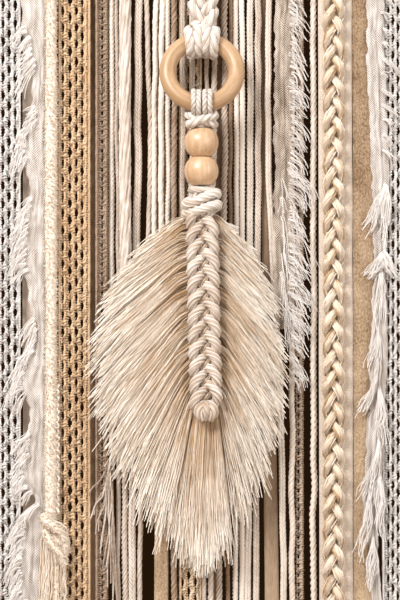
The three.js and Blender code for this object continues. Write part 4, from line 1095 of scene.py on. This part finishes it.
def pile_yarn_lines(rng):
    """Bundles of loose yarn: round the knot's turns, and hanging from it."""
    lines = []
    for radius, points in CHENILLE_KNOT:
        lines.append(wisp(smooth_line(points, 4), (radius, radius), (radius, 0.8 * radius)))
    tail = PILE_YARNS
    for i in range(tail["count"]):
        across = tail["left"] + (tail["right"] - tail["left"]) * i / (tail["count"] - 1)
        y = CHENILLE_Y - 2.6 + 0.8 * math.sin(i * 2.1)
        end = tail["end"] + tail["uneven"] * rng.uniform(0, 1)
        t = np.linspace(0, 1, 6)
        x = CHENILLE_X + across * (0.55 + 0.45 * t**0.5) - t + rng.uniform(-1, 1) * np.sin(3 * t)
        path = np.column_stack([x, y + 0 * t, tail["top"] + (end - tail["top"]) * t])
        lines.append(wisp(path, (1.4, 1.6), (1.2, 1.4)))
    return lines


core = grow("chenille_core", lines_mesh("core", chenille_lines()), PLIED_CORD, plies=3,
            ply_depth=0.05, profile_points=14, step=1.6 * MM, fuzz=1.1 * MM, fuzz_scale=700.0,
            material=CHENILLE)
core_mesh = core.data
bpy.data.objects.remove(core)
chenille = grow("chenille_cord", core_mesh, PILE, density=560000.0, hair=1.9 * MM,
                hair_radius=0.42 * MM, seed=3, material=CHENILLE)
dress(chenille, "cream_chenille", "chenille_strip")
hang("chenille_edge_loops", edge_loop_lines(), PLIED_CORD, "cream_chenille", "chenille_strip",
     plies=2, ply_depth=0.2, profile_points=6, step=1.3 * MM, fuzz=0.9 * MM, material=CHENILLE)
hang("chenille_pile_yarns", pile_yarn_lines(np.random.default_rng(7)), COMBED_THREADS,
     "cream_chenille", "chenille_strip", threads=11, thread_radius=0.4 * MM, points=28, uneven=0.12,
     wave=10 * MM, wave_scale=150.0, seed=15, material=CHENILLE)

# %% Roving
ROVING_PATH = [(-45.4, -3.1, 0), (-45.6, -3.1, -140), (-44.9, -3.1, -230), (-45.4, -3.1, -311)]
hang("soft_roving_bundle", [cord(smooth_line(ROVING_PATH, 12), 3.7, 160)], PLIED_CORD,
     "cotton_roving", "soft_roving", plies=7, ply_depth=0.2, fibres=3, fibre_depth=0.1,
     profile_points=38, step=1.9 * MM, fuzz=1.3 * MM, fuzz_scale=420.0, material=ROVING)

# %% [markdown]
# ## The plait
#
# Three thick yarns cross in turn from the sides to the middle. Each follows a sine from side to
# side, a third of a period behind the last, and rises and falls twice as often, so that it passes
# over one neighbour and under the other. A yarn is a plain core with loose filaments laid along
# it by the combed threads tree, because brushed yarn has no hard edge of its own.

# %% Plait
PLAIT = {"x": 77.6, "y": -5.3, "sideways": 4.6, "forwards": 3.5, "period": 36, "top": 1.8,
         "length": 421, "phase": 1 / 12}
PLAIT_RADIUS = 2.1
PLAIT_SPREAD = (2.4, 2.4)


def plait_line(index):
    p = PLAIT
    z = np.arange(-p["top"], -p["length"], -p["period"] / 16)
    phase = 2 * np.pi * (z / p["period"] + index / 3 + p["phase"])
    x = p["x"] + p["sideways"] * np.sin(phase)
    y = p["y"] - sway(z) + p["forwards"] * np.sin(2 * phase)
    swell = PLAIT_RADIUS * (1 + 0.08 * np.sin(3 * phase))
    path = np.column_stack([x, y, z])
    return cord(path, swell, LAZY_TURN) | wisp(path, PLAIT_SPREAD, PLAIT_SPREAD)


for index in range(3):
    name = f"plait_yarn_{index + 1}"
    hang(name + "_core", [plait_line(index)], PLIED_CORD, "plaited_yarn", name, plies=5,
         ply_depth=0.2, profile_points=15, step=1.8 * MM, fuzz=1.1 * MM, fuzz_scale=420.0,
         material=PLAIT_YARN)
    hang(name + "_filaments", [plait_line(index)], COMBED_THREADS, "plaited_yarn", name, threads=22,
         thread_radius=0.4 * MM, points=100, uneven=0.0, wave=2.8 * MM, wave_scale=200.0,
         seed=30 + index, material=PLAIT_FILAMENT)

# %% [markdown]
# ## The turned ring and beads
#
# A wooden ring is a circle swept round a circle. It leans back a little where its loops pull on
# it, so its points are turned by the same lean as its solid. A bead is a ball with flats where
# it was sawn from its neighbour and a bore for the cords. Both are revolved outlines.

# %% Turned shapes
PENDANT_Y = -21
RING = {"outer": 25.0, "section": 4.9, "tilt": math.radians(18), "centre": (0, -17.5, -78.5)}
RING_RADIUS = RING["outer"] - RING["section"]


def ring_point(along, around, reach):
    """A point on a circle round the ring's section, at an angle along the ring."""
    out = RING_RADIUS + reach * np.cos(around)
    x, y, z = out * np.cos(along), reach * np.sin(around), out * np.sin(along)
    c, s = math.cos(-RING["tilt"]), math.sin(-RING["tilt"])
    return np.stack([x, y * c - z * s, y * s + z * c], -1) + RING["centre"]


def revolved(name, grid, grain, material):
    """A closed shape from a grid of points that closes on itself both ways."""
    rows, columns, _ = grid.shape
    index = np.arange(rows * columns).reshape(rows, columns)
    right, below = np.roll(index, -1, 1), np.roll(index, -1, 0)
    corner = np.roll(right, -1, 0)
    mesh = bpy.data.meshes.new(name)
    faces = np.stack([index, below, corner, right], -1).reshape(-1, 4)
    mesh.from_pydata((grid.reshape(-1, 3) * MM).tolist(), [], faces.tolist())
    mesh.shade_smooth()
    mesh.materials.append(material)
    stored = mesh.attributes.new("grain", "FLOAT_VECTOR", "POINT")
    stored.data.foreach_set("vector", np.stack(np.broadcast_arrays(*grain), -1).ravel())
    face_outwards(mesh)
    print(f"{name}: {2 * len(faces)} triangles")
    return put(name, mesh)


def face_outwards(mesh):
    shape = bmesh.new()
    shape.from_mesh(mesh)
    bmesh.ops.recalc_face_normals(shape, faces=shape.faces)
    shape.to_mesh(mesh)
    shape.free()


def circle(count):
    return np.arange(count) * 2 * np.pi / count


print("the ring is", 2 * RING["outer"], "mm wide")

# %% Ring
along, around = np.meshgrid(circle(96), circle(32), indexing="ij")
section = RING["section"]
grain = (section * np.cos(around) + 0.8 * np.cos(along), section * np.sin(around), 2.0 * np.sin(along))
ring = revolved("turned_ring", ring_point(along, around, section), grain, RING_WOOD)
dress(ring, "pale_wood", "wooden_ring")

# %% Beads
BEAD = {"diameter": 20, "height": 16.4, "bore": 3.9, "top": -111.7, "gap": 0.3, "x": -0.4, "soft": 0.5}


def bead_grid(centre_z):
    radius, flat, soft = BEAD["diameter"] / 2, BEAD["height"] / 2, BEAD["soft"]
    most = math.asin(flat / radius)
    angle = np.linspace(-most, most, 25)
    outline = [(radius * math.cos(a), radius * math.sin(a)) for a in angle]
    rim = outline[-1][0]
    top = [(rim - soft, flat + 0.02), (BEAD["bore"] + soft, flat), (BEAD["bore"] + 0.1, flat - soft)]
    profile = np.array([*outline, *top, *[(r, -z) for r, z in reversed(top)]])
    r, z = profile[:, 0][:, None], profile[:, 1][:, None]
    x, y = r * np.cos(circle(48)), r * np.sin(circle(48))
    grid = np.stack(np.broadcast_arrays(BEAD["x"] + x, PENDANT_Y + y, centre_z + z), -1)
    return grid, (x, y, z / 14 + 0.1 * centre_z)


for index in range(2):
    centre_z = BEAD["top"] - BEAD["height"] / 2 - index * (BEAD["height"] + BEAD["gap"])
    bead = revolved(f"turned_bead_{index + 1}", *bead_grid(centre_z), BEAD_WOOD)
    dress(bead, "pale_wood", f"wooden_bead_{index + 1}")

# %% [markdown]
# ## The pendant's knots
#
# Macrame knots look complicated, but each is a few cords on simple curves. One lobe of a knot is
# a short list of points: outwards, backwards and upwards from the knot's centre. Mirrored and
# repeated down the pendant, lobes make the braid, the crossed knot and the spine of the feather.

# %% Knotted cords
CORD_RADIUS = 3.1
THIN_RADIUS = 2.6
LEAN = {"start_z": -145, "end_z": -283, "start": -0.4, "end": 2.6}


def lean_at(z):
    share = np.clip((z - LEAN["start_z"]) / (LEAN["end_z"] - LEAN["start_z"]), 0, 1)
    return LEAN["start"] + (LEAN["end"] - LEAN["start"]) * share


def tied(points, radius, turn=26.0, shade=0.5):
    return cord(smooth_line(points, 5), radius, turn, shade=shade)


def lobe(shape, side, centre, radius, turn=26.0, shade=0.5):
    points = [(centre[0] + side * out, centre[1] + back, centre[2] + up) for out, back, up in shape]
    return tied(points, radius, -side * turn, shade)


def knotted(name, lines, *nodes, plies=3, fibres=4):
    hang(name, lines, PLIED_CORD, "macrame_cord", *nodes, plies=plies, ply_depth=0.16, fibres=fibres,
         fibre_depth=0.09, profile_points=24, step=1.1 * MM, fuzz=0.8 * MM, material=MACRAME_CORD)


print("a macrame cord is", 2 * CORD_RADIUS, "mm thick")

# %% Hanging braid
BRAID_TOP = np.array([0.8, -4.4, -7.3])
BRAID_END = np.array([0.6, -11.3, -46])
SHOULDER = [(0, 0, 0), (3, -1, -2.6), (6.4, -1.6, -5.4)]
BRAID_LOBE = [(6.4, 2.2, 4.4), (6.2, -1.8, 2.4), (4.2, -3.2, -1.4), (1.2, -2.4, -5), (-1.6, 1.6, -6.4)]
BRAID_ROWS = 4
# The hitches over the ring: each one's x, and how far it stands off the ring's section.
HITCH_OFF = 2.7
HITCH_X = [-7.3, -2.5, 2.5, 7.3]


def braid_lines():
    lines = []
    for row in range(BRAID_ROWS + 1):
        for side in (-1, 1):
            t = (row + (0 if side < 0 else 0.5)) / (BRAID_ROWS + 0.5)
            centre = BRAID_TOP + (BRAID_END - BRAID_TOP) * t
            lines.append(lobe(BRAID_LOBE, side, centre, CORD_RADIUS - 0.1))
    for index, x in enumerate(HITCH_X):
        around = np.linspace(-0.97, 0.97, 16) * math.pi
        path = ring_point(math.acos(x / RING_RADIUS), around, RING["section"] + HITCH_OFF)
        path[:, 0] = 0.75 * x + 0.25 * path[:, 0]
        lines.append(cord(path, 3.0, (-1) ** index * 20, shade=0.6))
    for side in (-1, 1):
        lines.append(lobe(SHOULDER, side, BRAID_END, THIN_RADIUS))
    return lines


knotted("braid_and_hitch", braid_lines(), "hanging_braid")

# %% Upper knot
UPPER_KNOT_Z = -107
CROSS = [(5.6, 3, 4.0), (7.8, 0.4, 3.0), (5, -3.4, 1.6), (0, -4.8, -0.2), (-5.4, -3.4, -2.2),
         (-7.6, 0.2, -2.6)]
LOOP_RADIUS, LOOP_OFF = 1.65, 2.0
LOOP_X = [-4.9, -2.0, 1.6, 4.5]


def upper_knot_lines():
    lines = []
    for index, x in enumerate(LOOP_X):
        into = np.array([x, PENDANT_Y, UPPER_KNOT_Z + 1])
        for half in (-1, 1):
            around = np.linspace(0.12, 1.02, 8) * math.pi * half
            path = ring_point(-math.acos(x / RING_RADIUS), around, RING["section"] + LOOP_OFF)
            path[:, 0] = x
            lines.append(tied(np.vstack([into, path]), LOOP_RADIUS, (-1) ** index * 9))
    for side in (-1, 1):
        lines.append(lobe(CROSS, side, (-0.2, PENDANT_Y - 1.1 * (side + 1), UPPER_KNOT_Z), THIN_RADIUS, 16))
    core_end = BEAD["top"] - 2 * BEAD["height"] - BEAD["gap"]
    core = [(-0.4, PENDANT_Y, UPPER_KNOT_Z + 1), (-0.4, PENDANT_Y, core_end)]
    lines.append(tied(core, BEAD["bore"] - 0.4))
    inside = [(-0.2, PENDANT_Y, UPPER_KNOT_Z + 4), (-0.2, PENDANT_Y, BEAD["top"] + 0.3)]
    lines.append(tied(inside, 5.2))
    return lines


knotted("crossed_knot_and_loops", upper_knot_lines(), "upper_knot")

# %% Neck wraps
NECK_WRAPS = [(-147.5, 6.4, 3.6, 2.0, 0.0), (-152.8, 8.9, 4.6, 3.1, 1.6), (-159.0, 9.2, 4.6, 3.1, 1.4)]


def neck_lines():
    lines = []
    for z, half_width, half_depth, radius, rise in NECK_WRAPS:
        angle = np.linspace(0.0, 0.99, 22) * 2 * np.pi + np.pi / 2
        path = np.column_stack([lean_at(z) + half_width * np.cos(angle),
                                PENDANT_Y + half_depth * np.sin(angle),
                                z + rise * 2.6 * np.sin(angle / 2 - np.pi / 4) * np.cos(angle)])
        lines.append(cord(path, radius, 22, shade=0.55))
    for x in (-3.2, 0.0, 3.2):
        ends = [(lean_at(z) + x, PENDANT_Y, z) for z in (-145.2, -163.2)]
        lines.append(tied(ends, 3.4))
    return lines


knotted("neck_wraps_cord", neck_lines(), "neck_wraps", plies=6, fibres=2)

# %% Spine
SPINE = {"top": -169.2, "rows": 11, "pitch": 9.6, "stagger": 0.4}
SPINE_LOBE = [(0.2, 1.0, 3.2), (2.6, -2.5, 2.2), (5.4, -4, -0.8), (6.9, -3.6, -4.4), (6.2, -0.8, -7.6),
              (3.8, 2.2, -8.8)]
SPINE_CROSSING = [(-2.6, 0.4, -6.4), (-0.6, -1.9, -5.2), (2.8, -1, -3)]
END_CURL = [(0.4, 1.6, 1.4), (2.6, -2.8, 1.2), (4.1, -4.4, -1.2), (3.8, -4.6, -3.8), (1.6, -3.4, -6.2)]
END_FRONT = [(0.2, -3.4, 2.4), (0.1, -5.6, -0.4), (0, -5.9, -3.4), (0, -3.6, -6.4)]
END_RADIUS = 3.3


def spine_lines():
    lines = []
    for side in (-1, 1):
        for row in range(min(side, 0), SPINE["rows"]):
            shift = -side * SPINE["stagger"] / 2
            z = SPINE["top"] - SPINE["pitch"] * (row + shift)
            centre = (lean_at(z), PENDANT_Y, z)
            lines.append(lobe(SPINE_LOBE, side, centre, CORD_RADIUS, 21, 0.34))
            # The crossings are painted darker than the lobes, as shade between them.
            lines.append(lobe(SPINE_CROSSING, side, centre, 2.0, 16, 0.0))
    end_z = SPINE["top"] - SPINE["pitch"] * SPINE["rows"] + 0.8
    for side in (-1, 1):
        lines.append(lobe(END_CURL, side, (lean_at(end_z), PENDANT_Y, end_z), END_RADIUS, 26, 0.3))
    lines.append(lobe(END_FRONT, 1, (lean_at(end_z), PENDANT_Y, end_z), THIN_RADIUS, 18, 0.3))
    # The core, hidden between the lobes, is painted darker still, as shade.
    core = [(lean_at(z), PENDANT_Y + back, z) for z, back in ((-166, 1), (-260, 1), (end_z - 4, -1.4))]
    lines.append(tied(core, 3.0, 24, -0.3))
    return lines


knotted("feather_spine", spine_lines(), "spine_knots", plies=6, fibres=2)

# %% [markdown]
# ## The combed feather
#
# Each cord that crosses the spine is untwisted and combed, so it opens into a lock of fine
# threads. A lock leaves the spine sideways and then falls, the steeper the lower it is tied, and
# its ends are cut along the feather's outline. Each lock is made of a few wisps, and the combed
# threads tree opens every wisp into its threads.

# %% Feather
# The outline: how far each side reaches from the middle, and how far it drops on the way.
FEATHER_ROWS = table(
    "left left_drop right right_drop",
    (-163, 28, 14, 20, 11), (-168, 49, 28, 36, 25), (-178, 62, 40, 44, 36), (-196, 65, 52, 48, 46),
    (-216, 63, 61, 48.5, 52), (-236, 55, 69, 46, 57), (-254, 41, 77, 38, 63),
    (-268, 26, 85, 27, 76), (-277, 12, 91, 13, 88))
FRINGE_ROOT_X = 5.5
FRINGE_TOP, FRINGE_END = -163, -277
LOCKS = 12
LOCK_PITCH = 111 / (LOCKS - 1)
WISPS = 9
# Below this height the wisps are cut more evenly.
EVEN_BELOW = -235
LAYER_Y = (-16.6, -14.2, -12.0)


def feather_lines(side, rng):
    key = "left" if side < 0 else "right"
    lines = []
    for layer, y in enumerate(LAYER_Y):
        for lock in range(LOCKS):
            middle = FRINGE_TOP - 3 - (lock + (0.5 if layer == 1 else 0)) * LOCK_PITCH
            for strand in range(WISPS):
                place = rng.uniform(-1, 1)
                z = min(FRINGE_TOP, max(FRINGE_END, middle + 3.0 * place))
                axis = lean_at(z)
                reach = ease(z, FEATHER_ROWS, key) - side * axis
                drop = ease(z, FEATHER_ROWS, key + "_drop")
                shortest = 0.7 if z > EVEN_BELOW else 0.84
                size = rng.uniform(shortest, 1.0) if strand > 1 else rng.uniform(0.96, 1.08)
                t = np.array([0, 0.12, 0.3, 0.5, 0.75, 1.0])
                out = FRINGE_ROOT_X + (reach * size - FRINGE_ROOT_X) * (1 - (1 - t) ** 1.08)
                arch = 2.0 * np.sin(np.pi * np.minimum(1, t * 2.6))
                sway_down = rng.uniform(-2.5, 2.5) * np.sin(np.pi * t) - 2.5 * place * t
                down = drop * size * t**1.14 + sway_down - arch
                lift = 1.6 * np.sin(np.pi * np.minimum(t * 1.2, 1)) - 1.2 * t
                path = np.column_stack([axis + side * out, y - lift + rng.uniform(-0.7, 0.7), z - down])
                lines.append(wisp(path, (1.5, rng.uniform(2.0, 5.5)), (1.2, 0.8), shade=rng.uniform(0, 1)))
    return lines


for side, name in ((-1, "left"), (1, "right")):
    lines = feather_lines(side, np.random.default_rng(100 + side))
    hang(f"feather_{name}_threads", lines, COMBED_THREADS, "combed_fringe", f"feather_fringe_{name}",
         threads=8, thread_radius=0.25 * MM, points=7, uneven=0.22, wave=7 * MM, wave_scale=85.0,
         seed=9 + side, material=COMBED)

# %% Feather tip
TIP = {"z": -280, "half_width": 4.2, "spread": 12.5, "length": 96, "rounding": 18, "wisps": 16}


def tip_lines(rng):
    lines = []
    for y in LAYER_Y:
        for i in range(TIP["wisps"]):
            across = -1 + 2 * (i + rng.uniform(-0.3, 0.3)) / (TIP["wisps"] - 1)
            x, z = lean_at(TIP["z"]), TIP["z"]
            length = (TIP["length"] - TIP["rounding"] * across**2) * rng.uniform(0.93, 1.0)
            t = np.array([0, 0.15, 0.4, 0.7, 1.0])
            width = TIP["half_width"] + (TIP["spread"] - TIP["half_width"]) * t**0.8
            path = np.column_stack([x + across * width - 1.5 * t, y - 0.6 + 0 * t, z - length * t])
            lines.append(wisp(path, (1.2, rng.uniform(1.0, 2.6)), (1.0, 0.6), shade=0.5))
    return lines


hang("feather_tip_threads", tip_lines(np.random.default_rng(131)), COMBED_THREADS, "combed_fringe",
     "feather_fringe_tip", threads=9, thread_radius=0.24 * MM, points=9, uneven=0.1, wave=6 * MM,
     wave_scale=85.0, seed=21, material=COMBED)

# %% [markdown]
# ## Floor, light and camera
#
# The tail hangs from its top edge, so the warm brown floor lies well below it. A long lens from
# straight in front keeps the strips parallel, as in a close-up taken from some way off. One
# large soft light stands above to the left and a weaker one fills from the right. The room itself
# is brighter overhead than below, which gives beads and knots their dark undersides.

# %% Stage
FLOOR_Z = -0.55
LIT_POINT = Vector((0, 0, -0.21))


def stage_floor():
    mesh = bpy.data.meshes.new("floor")
    reach, behind = 4.0, 0.8
    corners = [(-reach, -reach), (reach, -reach), (reach, behind), (-reach, behind)]
    mesh.from_pydata([(x, y, FLOOR_Z) for x, y in corners], [], [(0, 1, 2, 3)])
    material, add = new_material("warm matte floor")
    shader = add("ShaderNodeBsdfPrincipled", {"Base Color": linear("#a08e7c"), "Roughness": 0.9})
    add("ShaderNodeOutputMaterial", shader)
    mesh.materials.append(material)
    put("floor", mesh)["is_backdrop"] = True


def area_light(name, place, size, power, colour):
    data = bpy.data.lights.new(name, "AREA")
    data.size, data.energy, data.color = size, power, linear(colour)[:3]
    light = put(name, data)
    light.location = place
    light.rotation_euler = (LIT_POINT - light.location).to_track_quat("-Z", "Y").to_euler()


stage_floor()
area_light("key", (-0.75, -1.1, 0.75), 0.5, 29, "#fffdfb")
area_light("fill", (1.1, -1.2, 0.1), 1.0, 10, "#fffefc")
print("floor", -FLOOR_Z, "m below the top edge")

# %% Room light
world = bpy.data.worlds.new("studio")
world.use_nodes = True
world.node_tree.nodes.clear()
add = partial(node, world.node_tree)
seen = add("ShaderNodeLightPath").outputs["Is Camera Ray"]
around_us = add("ShaderNodeTexCoord").outputs["Generated"]
height = add("ShaderNodeSeparateXYZ", around_us).outputs["Z"]
strength = add("ShaderNodeMapRange", height, -1.0, 1.0, 0.26, 0.94)
soft = add("ShaderNodeBackground", linear("#fff6ee"), strength)
# Only the camera sees the room as dark brown: painted shade in the gaps between the strips. The light on the
# strips still comes from the pale room.
dark = add("ShaderNodeBackground", linear("#241509"), 1.0)
add("ShaderNodeOutputWorld", add("ShaderNodeMixShader", seen, soft, dark))
bpy.context.scene.world = world
bpy.context.scene.view_settings.view_transform = "Standard"
print("room light:", world.name)

# %% Camera
FRAME_HEIGHT = 352.8 * MM
FRAME_CENTRE = Vector((-1.2 * MM, -10 * MM, -211.7 * MM))
DISTANCE = 1.2
SENSOR = 36.0
lens = bpy.data.cameras.new("camera")
lens.sensor_fit = "VERTICAL"
lens.sensor_height = SENSOR
lens.lens = SENSOR * DISTANCE / FRAME_HEIGHT
camera = put("camera", lens)
camera.location = FRAME_CENTRE + Vector((0, -DISTANCE, 0))
camera.rotation_euler = (math.pi / 2, 0, 0)
bpy.context.scene.camera = camera
print("lens:", round(lens.lens, 1), "mm")

# %% [markdown]
# Last, the box of the finished piece is kept beside the box of its solids.

# %% Sizes and finish
sizes = {"cad": CAD_BOX, "visual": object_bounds()}
print(sizes)
